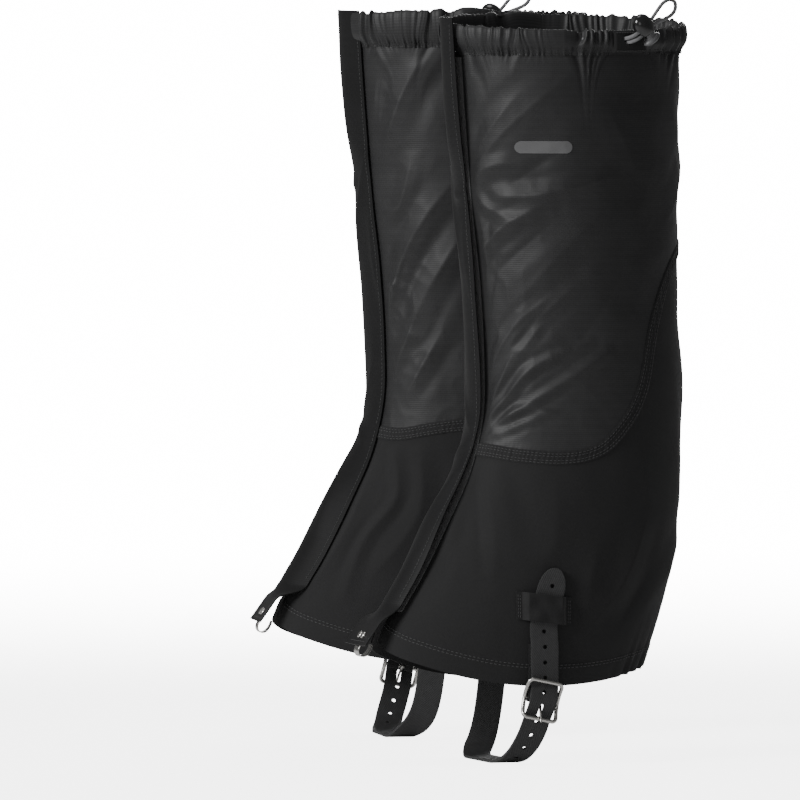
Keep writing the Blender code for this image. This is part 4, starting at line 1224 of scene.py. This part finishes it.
def lower_flap():
    """The lower flap and the tab, which is the same strip of cloth."""
    rows_down = np.linspace(FLAP_JOIN + 0.6 * MM, TAB_ROOT + 4 * MM, 84)
    t, z = np.meshgrid(np.linspace(0, 1, 37), rows_down)
    x = flap_width(z, t)
    strip = flap_surface(x, z) - outward(angle_at_x(x, z), z) * 0.05 * MM
    inverse = np.array(tab.inverted())
    root = strip[-1] @ inverse[:3, :3].T + inverse[:3, 3]
    share = np.linspace(0, 1, 34)[1:, None]
    reach = root[None, :, 1] + (TAB_LENGTH - root[None, :, 1]) * share
    curl = 0.9 * MM * share**2 * np.abs(np.linspace(-1, 1, 37))[None, :]**2.5
    level = root[None, :, 2] + (0.5 * MM + curl - root[None, :, 2]) * ease(share * 1.9)
    flat = np.stack((root[None, :, 0] + 0 * reach, reach, level), -1)
    matrix = np.array(tab)
    end = flat @ matrix[:3, :3].T + matrix[:3, 3]
    points = np.concatenate((strip, end))[::-1]
    down = np.concatenate((z[:, :1], z[-1, 0] - (TAB_LENGTH + 4 * MM) * share))[::-1]
    uv = np.stack((np.broadcast_to(x[0], points.shape[:2]), np.broadcast_to(down, points.shape[:2])), -1)
    mesh = thick(grid_mesh("flap_end", points, uv), 0.7 * MM)
    holes = []
    for place in RIVET_X:
        hole = cylinder(1.3 * MM, 12 * MM, tab @ Matrix.Translation((place, RIVET_Y, 0)), 24)
        holes.append(("DIFFERENCE", solid(hole, "rivet_hole")))
    show("flap_lower_cloth", carved(mesh, holes), FLAP_NYLON,
         nodes=["front_flap_lower", "flap_tab"], bend=tab_bend())
    heights = np.linspace(TAB_ROOT + 8 * MM, FLAP_JOIN - 1 * MM, 260)
    sewn = [flap_stitches(heights, -17.4), flap_stitches(heights, 13.2)]
    across = [tab @ Vector((x * MM, 24.2 * MM, 1.25 * MM)) for x in np.linspace(-14.5, 14.5, 40)]
    sewn.append(stitch_row(across, [tab.to_3x3() @ Vector((0, 0, 1))] * 40, 2.6 * MM, 1.8 * MM))
    show("flap_lower_stitches", joined(sewn), THREAD, bend=tab_bend())


def closure_strips():
    """Hook tape under the flap's free edge, and loop tape on the shell below it."""
    for length, low, high, rows, bend in (("upper", FLAP_JOIN + 8 * MM, 456 * MM, 90, flap_bend()),
                                          ("lower", 112 * MM, FLAP_JOIN + 6 * MM, 60, None)):
        t, z = np.meshgrid(np.linspace(0, 1, 9), np.linspace(low, high, rows))
        x = (4 + 9.5 * t) * MM
        mesh = thick(grid_mesh("hooks", flap_surface(x, z, 0.85 * MM), np.stack((x, z), -1)), 0.6 * MM)
        show("hook_tape_" + length, mesh, FUZZ, nodes=["hook_strip_" + length], bend=bend)
    t, z = np.meshgrid(np.linspace(0, 1, 9), np.linspace(98 * MM, 456 * MM, 140))
    x = (7.5 + 7.5 * t) * MM
    places = off_surface(angle_at_x(x, z), z, SHELL + 0.45 * MM)
    mesh = thick(grid_mesh("loops", places, np.stack((x, z), -1)), 0.6 * MM)
    show("loop_tape", mesh, FUZZ, nodes=["loop_strip"])


def lace_hook():
    """The bent metal hook under the tab, and the two rivets that hold it."""
    plate = -0.4 * MM - HOOK_PLATE / 2
    side_view = ((14, 0), (20, 0), (26, 0), (29.5, -0.6), (31.5, -2.6), (31.5, -5.2), (29.5, -7.2),
                 (25.5, -7.8), (21.5, -7.0))
    bend = smooth_path([Vector((0, y, z)) for y, z in side_view], 5)
    u = np.linspace(-1, 1, 15)
    rows = []
    for i, point in enumerate(bend):
        share = i / (len(bend) - 1)
        half = 4.5 - 1.6 * float(ease((share - 0.72) / 0.28)) - 0.8 * float(ease((0.1 - share) / 0.1))
        rows.append([(half * side * MM, point.y * MM, plate + point.z * MM) for side in u])
    points = np.array(rows)
    mesh = modified(grid_mesh("hook", points, points[..., :2]),
                    ("SOLIDIFY", {"thickness": HOOK_PLATE, "offset": 0}),
                    ("BEVEL", {"width": 0.25 * MM, "segments": 3, "limit_method": "ANGLE"}))
    mesh.transform(tab)
    holes = []
    for x in RIVET_X:
        hole = cylinder(1.25 * MM, 6 * MM, tab @ Matrix.Translation((x, RIVET_Y, plate)), 24)
        holes.append(("DIFFERENCE", solid(hole, "hook_hole")))
    show("tab_hook", carved(mesh, holes), NICKEL, body="tab", nodes=["lace_hook"])
    head = 0.95 * MM
    tail = -0.4 * MM - HOOK_PLATE
    foot = tail - 0.6 * MM
    profile = ((0, head + 1.25 * MM), (0.9 * MM, head + 1.2 * MM), (1.7 * MM, head + 1.0 * MM),
               (2.3 * MM, head + 0.6 * MM), (2.5 * MM, head + 0.25 * MM), (2.4 * MM, head), (1.1 * MM, head),
               (1.1 * MM, tail), (1.9 * MM, tail), (1.9 * MM, foot), (0, foot))
    for letter, x in zip("ab", RIVET_X):
        place = tab @ Matrix.Translation((x, RIVET_Y, 0))
        show("tab_rivet_" + letter, lathe("rivet", profile, place), NICKEL, body="tab",
             nodes=["rivet_" + letter])


# ---------------------------------------------------------------- instep strap

def side_point(z, out, y=SIDE_Y):
    return Vector(off_surface(angle_at_y(y, z), z, out))


def medial(point):
    return Vector((-point.x, point.y, point.z))


def buckle_place():
    """X outwards, Y along the middle bar, Z up the strap."""
    return (Matrix.Translation((BUCKLE_X, BUCKLE_Y, BUCKLE_Z)) @ Matrix.Rotation(-BUCKLE_TILT, 4, "X"))


def strap_route():
    """The strap's middle line, from its tip on the lateral side to its sewn end on the medial."""
    over_shell = SHELL + 1.9 * MM
    tip = ((127, -21), (113, -25), (99, -28.5), (89, -30))
    lateral = [side_point(z * MM, over_shell, y * MM) for z, y in tip]
    lateral += [side_point(z * MM, 5.5 * MM) for z in (76, 66)]
    bars = BUCKLE_BOW - 4.1 * MM
    over_bar = BAR + WEBBING + 1.3 * MM + STRAP / 2
    lateral += [buckle @ Vector(point) for point in ((bars, 0, BUCKLE_HALF_HEIGHT), (over_bar, 0, 0),
                                                     (bars - 0.6 * MM, 0, -BUCKLE_HALF_HEIGHT))]
    sole = 1.03
    under = [Vector(p) * MM for p in ((51.5, -38, 20), (46.5, -41.5, 11), (38.5, -44.5, 4.6),
                                      (29, -47.5, sole + 0.4), (20, -48, sole), (7, -48, sole),
                                      (-7, -48, sole), (-20, -48, sole), (-29, -47.5, sole + 0.4),
                                      (-38.5, -44.5, 4.6), (-46, -39, 11), (-50, -35, 20),
                                      (-51.5, -32, 34))]
    sewn = [medial(side_point(z * MM, over_shell)) for z in (52, 64, 76)]
    return smooth_path(lateral + under + sewn, 12)


def across_strap(point):
    angle = angle_at_y(point.y, point.z)
    along_tube = Vector(surface(angle + 0.01, point.z) - surface(angle - 0.01, point.z)).normalized()
    if point.x < 0:
        along_tube.x = -along_tube.x
    return Vector((0, 1, 0)).lerp(along_tube, float(ease((point.z - 54 * MM) / (22 * MM))))


def strap_frames():
    """Middle point, width direction, outward direction and length so far, along the strap."""
    route = strap_route()
    frames = []
    length = 0.0
    for i, middle in enumerate(route):
        along = (route[min(i + 1, len(route) - 1)] - route[max(i - 1, 0)]).normalized()
        width = across_strap(middle)
        width = (width - along * width.dot(along)).normalized()
        if i:
            length += (middle - route[i - 1]).length
        frames.append((middle, width, width.cross(along).normalized() * -1, length))
    return frames


def strap_at(frames, length):
    i = max(k for k in range(len(frames) - 1) if frames[k][3] <= length)
    low, high = frames[i], frames[i + 1]
    t = (length - low[3]) / (high[3] - low[3])
    middle = low[0].lerp(high[0], t)
    width = low[1].lerp(high[1], t).normalized()
    out = low[2].lerp(high[2], t).normalized()
    basis = Matrix((width, out.cross(width), out)).transposed().to_4x4()
    return Matrix.Translation(middle) @ basis


def instep_strap():
    """A ribbed strap with round holes, a pointed tip and slightly rounded edges."""
    frames = strap_frames()
    tip = 15 * MM
    columns = np.linspace(1, -1, 11)
    rows = []
    uv = []
    for middle, width, out, length in frames:
        half = STRAP_WIDTH / 2
        if length < tip:
            half *= max(math.sqrt(1 - ((tip - length) / tip)**2.0), 0.05)
        rows.append([middle + width * half * u for u in columns])
        uv.append([(half * u, length) for u in columns])
    mesh = modified(grid_mesh("strap", np.array(rows, float), np.array(uv, float)),
                    ("SOLIDIFY", {"thickness": STRAP - 0.1 * MM, "offset": 0, "use_even_offset": True}),
                    ("BEVEL", {"width": 0.45 * MM, "segments": 3, "limit_method": "ANGLE",
                               "angle_limit": math.radians(50)}))
    cuts = []
    for hole in range(HOLES):
        place = strap_at(frames, 12 * MM + hole * HOLE_PITCH)
        below_bar = BUCKLE_Z - place.translation.z
        if place.translation.z > 4 * MM and abs(below_bar - PRONG_HOLE_DROP) > 5 * MM:
            cuts.append(("DIFFERENCE", solid(cylinder(HOLE_RADIUS, 6 * MM, place, 24), "strap_hole")))
    slot = block((14 * MM, 3.0 * MM, 8 * MM), buckle @ Matrix.Translation((0, 0, -PRONG_HOLE_DROP)), 0.9 * MM)
    cuts.append(("DIFFERENCE", solid(slot, "slot")))
    end = anchor_place()
    cuts.append(("DIFFERENCE", solid(cylinder(1.7 * MM, 12 * MM, end, 24), "end_hole")))
    show("ribbed_strap", carved(mesh, cuts), RUBBER, nodes=["instep_strap"])


def anchor_place():
    """The medial rivet's frame: Z outwards through the strap, the shell and the patch."""
    origin = medial(side_point(64 * MM, 0))
    out = (medial(side_point(64 * MM, MM)) - origin).normalized()
    up = Vector((0, 0, 1))
    up = (up - out * up.dot(out)).normalized()
    basis = Matrix((up.cross(out), up, out)).transposed().to_4x4()
    return Matrix.Translation(origin) @ basis


def strap_anchor():
    u, v = np.meshgrid(np.linspace(0, 1, 25), np.linspace(0, 1, 25))
    z = (54 + 20 * v) * MM
    y = SIDE_Y + (9 - 18 * u) * MM
    places = off_surface(angle_at_y(y, z), z, -1.3 * MM)
    places[..., 0] *= -1
    mesh = thick(grid_mesh("backing", places, np.stack((y, z), -1)), 1.0 * MM)
    hole = solid(cylinder(1.7 * MM, 12 * MM, anchor_place(), 24), "patch_hole")
    show("anchor_backing", carved(mesh, [("DIFFERENCE", hole)]), WEBBING_CLOTH,
         nodes=["strap_anchor_patch"])
    head = SHELL + 1.9 * MM + STRAP / 2 + 0.1 * MM
    tail = -1.8 * MM
    profile = ((0, head + 1.4 * MM), (1.3 * MM, head + 1.35 * MM), (2.4 * MM, head + 1.1 * MM),
               (3.2 * MM, head + 0.7 * MM), (3.5 * MM, head + 0.3 * MM), (3.4 * MM, head),
               (1.4 * MM, head), (1.4 * MM, tail), (3.0 * MM, tail), (3.0 * MM, tail - 0.7 * MM),
               (0, tail - 0.7 * MM))
    show("anchor_stud", lathe("stud", profile, anchor_place()), NICKEL,
         nodes=["strap_anchor_rivet"])


def keeper_point(y, lift):
    """A point of the keeper: y along it from its middle, lift across it, both in metres."""
    z = KEEPER_Z + lift + y * math.tan(math.radians(-7))
    rise = ease((14.5 * MM - np.abs(y)) / (4 * MM))
    place_y = y + KEEPER_Y
    return off_surface(angle_at_y(place_y, z), z, SHELL + 0.5 * MM + rise * 4.8 * MM), z, place_y


def strap_keeper():
    """The fabric loop over the strap's tip, sewn down at both ends."""
    u, v = np.meshgrid(np.linspace(-1, 1, 91), np.linspace(-1, 1, 31))
    sag = 0.35 * MM * np.sin(u * 9 + 1) * np.sin(v * 3) + 0.3 * MM * np.sin(u * 5.0 - v * 4)
    points, _, _ = keeper_point(u * 18 * MM, v * 9 * MM)
    level = np.full(u.shape, KEEPER_Z)
    normal = outward(angle_at_y(u * 18 * MM + KEEPER_Y, level), level)
    middle = 1 - ease((np.abs(u) - 0.6) / 0.2)
    points = points + normal * (sag * middle)[..., None]
    mesh = thick(grid_mesh("keeper", points, np.stack((u * 18 * MM, v * 9 * MM), -1)), 0.8 * MM)
    show("keeper_loop", mesh, PACK_CLOTH, nodes=["strap_keeper"])
    sewn = []
    for place in (-16.9, -15.6, 15.6, 16.9):
        lifts = np.linspace(-8, 8, 30) * MM
        points, z, y = keeper_point(np.full(30, place * MM), lifts)
        outs = outward(angle_at_y(y, z), z)
        sewn.append(stitch_row(points + outs * 0.45 * MM, outs, 2.2 * MM, 1.6 * MM, 0.18 * MM))
    show("keeper_stitches", joined(sewn), THREAD)


# ---------------------------------------------------------------- buckle

def chape_route(y):
    """Points down the webbing at one place across it: sewn length, fold round the bar, end."""
    single = SHELL + 1.15 * MM
    doubled = single + 2 * WEBBING + 0.4 * MM
    turn = BAR + 0.3 * MM + WEBBING / 2
    across = Vector((0, y, 0))
    fold = [Vector((-turn, 0, z * MM)) for z in (5, 2.6, 1.0)]
    for step in range(13):
        angle = math.pi - step * math.pi / 12
        fold.append(Vector((math.cos(angle) * turn, 0, -math.sin(angle) * turn)))
    fold += [Vector((turn - 0.2 * MM, 0, 1.0 * MM)), Vector((turn - 0.8 * MM, 0, 2.8 * MM)),
             Vector((0.35 * MM, 0, 5.5 * MM))]
    down = [side_point(z * MM, single, SIDE_Y + y) for z in (78, 73, 68, 62.5, 57)]
    up = [side_point(z * MM, doubled, SIDE_Y + y) for z in (57, 60.5, 64)]
    return down + [buckle @ (bend + across) for bend in fold] + up


def chape():
    """Webbing sewn to the shell and folded round the buckle's middle bar."""
    columns = np.linspace(7.6, -9.4, 15) * MM
    lanes = [smooth_path(chape_route(y), 3) for y in columns]
    points = np.array([[lane[i] for lane in lanes] for i in range(len(lanes[0]))], float)[::-1]
    lengths = np.concatenate(([0], np.cumsum(np.linalg.norm(np.diff(points[:, 7], axis=0), axis=1))))
    uv = np.stack(np.broadcast_arrays(columns[None, ::-1], lengths[:, None]), -1)
    mesh = grid_mesh("chape", points[:, ::-1], uv)
    mesh.flip_normals()
    mesh = thick(mesh, WEBBING - 0.1 * MM)
    slot = block((14 * MM, 4.4 * MM, 11 * MM), buckle @ Matrix.Translation((0, 0, -0.5 * MM)), 0.5 * MM)
    show("chape_webbing", carved(mesh, [("DIFFERENCE", solid(slot, "chape_slot"))], folded=True),
         WEBBING_CLOTH, nodes=["buckle_tab"])
    sewn = []
    for y in (6.4, -8.2):
        z = np.linspace(60, 77, 40) * MM
        place = np.full(40, SIDE_Y + y * MM)
        outs = outward(angle_at_y(place, z), z)
        points = off_surface(angle_at_y(place, z), z, SHELL + 1.65 * MM)
        sewn.append(stitch_row(points, outs, 2.2 * MM, 1.6 * MM, 0.18 * MM))
    show("chape_stitches", joined(sewn), THREAD)


def buckle_wires():
    """A bent wire rectangle with its middle bar, and the prong on that bar."""
    corner = 3.0 * MM
    flat = []
    for sy, sz, start in ((1, 1, 0), (-1, 1, 90), (-1, -1, 180), (1, -1, 270)):
        for step in range(10):
            angle = math.radians(start + 10 * step)
            flat.append((sy * (BUCKLE_HALF_WIDTH - corner) + corner * math.cos(angle),
                         sz * (BUCKLE_HALF_HEIGHT - corner) + corner * math.sin(angle)))
    ring = []
    for here, after in zip(flat, flat[1:] + flat[:1]):
        steps = max(1, round(math.dist(here, after) / MM))
        for step in range(steps):
            y = here[0] + (after[0] - here[0]) * step / steps
            z = here[1] + (after[1] - here[1]) * step / steps
            ring.append(buckle @ Vector((BUCKLE_BOW * (z / BUCKLE_HALF_HEIGHT)**2, y, z)))
    bar = [buckle @ Vector((0, y * BUCKLE_HALF_WIDTH, 0)) for y in np.linspace(-1, 1, 21)]
    frame_mesh = joined([sweep("ring", ring, BAR, 20, closed=True), sweep("bar", bar, BAR * 0.88, 20)])
    show("buckle_wire", frame_mesh, NICKEL, body="buckle", nodes=["buckle_frame"])

    wire = 0.8 * MM
    eye = BAR + 0.35 * MM + wire
    points = []
    for step in range(29):
        angle = math.radians(75 + step * 7)
        points.append(Vector((math.cos(angle) * eye, 0, math.sin(angle) * eye)))
    rest = Vector((BUCKLE_BOW + BAR + 0.9 * MM + wire, 0, -BUCKLE_HALF_HEIGHT))
    tip = rest + (rest - points[-1]).normalized() * 2.2 * MM
    root = points[-1]
    points += [root.lerp(tip, t) for t in np.linspace(0.08, 1, 24)]
    thin = lambda t: 1 - 0.55 * float(ease((t - 0.93) / 0.07))
    mesh = sweep("prong", [buckle @ point for point in points], wire, 16, profile=thin)
    show("buckle_pin", mesh, NICKEL, body="prong", nodes=["buckle_prong"])


# ---------------------------------------------------------------- stage and light

def area_light(name, place, target, size, power):
    data = bpy.data.lights.new(name, "AREA")
    data.shape = "DISK"
    data.size = size
    data.energy = power
    light = bpy.data.objects.new(name, data)
    bpy.context.scene.collection.objects.link(light)
    light.location = place
    light.rotation_euler = (Vector(place) - Vector(target)).to_track_quat("Z", "Y").to_euler()


def set_stage():
    """A pale floor that fades out into a pale background, and soft light from the toes' side."""
    radius = 3.2
    bm = bmesh.new()
    bmesh.ops.create_circle(bm, cap_ends=True, segments=96, radius=radius)
    bmesh.ops.transform(bm, verts=bm.verts, matrix=Matrix.Translation((0, 0, -0.5 * MM)))
    floor = bpy.data.objects.new("floor", solid(bm, "floor"))
    bpy.context.scene.collection.objects.link(floor)
    finish = Finish("floor_finish", (0.86, 0.86, 0.86), 0.9, Specular_IOR_Level=0.1)
    place = finish.node("ShaderNodeTexCoord", {}).outputs["Object"]
    distance = finish.node("ShaderNodeVectorMath", {0: place}, operation="LENGTH").outputs["Value"]
    solid_part = finish.node("ShaderNodeMapRange", {"Value": distance, "From Min": 0.5, "From Max": 2.6,
                                                    "To Min": 1.0, "To Max": 0.0},
                             interpolation_type="SMOOTHSTEP").outputs["Result"]
    finish.tree.links.new(solid_part, finish.shader.inputs["Alpha"])
    seen = finish.node("ShaderNodeLightPath", {}).outputs["Is Camera Ray"]
    finish.shader.inputs["Emission Color"].default_value = (1, 1, 1, 1)
    finish.tree.links.new(finish.combine("MULTIPLY", seen, 4.5), finish.shader.inputs["Emission Strength"])
    floor.data.materials.append(finish.material)

    middle = (0, 0, 0.25)
    area_light("key", (1.15, -2.9, 1.5), middle, 1.3, 95)
    area_light("front", (3.4, -1.2, 0.8), middle, 1.6, 7)
    area_light("top", (0.0, -0.5, 2.8), middle, 1.4, 16)
    area_light("far", (-2.5, 1.3, 1.5), middle, 1.6, 52)

    world = bpy.data.worlds.new("studio")
    bpy.context.scene.world = world
    world.use_nodes = True
    tree = world.node_tree
    tree.nodes.clear()
    seen = tree.nodes.new("ShaderNodeBackground")
    seen.inputs["Strength"].default_value = 16.0
    lit = tree.nodes.new("ShaderNodeBackground")
    lit.inputs["Strength"].default_value = 0.16
    for shade in (seen, lit):
        shade.inputs["Color"].default_value = (1, 1, 1, 1)
    path = tree.nodes.new("ShaderNodeLightPath")
    mixed = tree.nodes.new("ShaderNodeMixShader")
    output = tree.nodes.new("ShaderNodeOutputWorld")
    tree.links.new(path.outputs["Is Camera Ray"], mixed.inputs["Fac"])
    tree.links.new(lit.outputs["Background"], mixed.inputs[1])
    tree.links.new(seen.outputs["Background"], mixed.inputs[2])
    tree.links.new(mixed.outputs["Shader"], output.inputs["Surface"])


# ---------------------------------------------------------------- everything, in order

lock = lock_place()
tab = tab_place()
buckle = buckle_place()

set_camera()
cord_loops()
cord_lock()
exit_patch()
upper_panel()
lower_panel()
seam_band()
hem_stitches()
gathered_casing()
heel_gathers()
reflective_bar()
upper_flap()
lower_flap()
closure_strips()
lace_hook()
instep_strap()
strap_keeper()
strap_anchor()
chape()
buckle_wires()
hidden_drawcord()
set_stage()

bpy.context.view_layer.update()
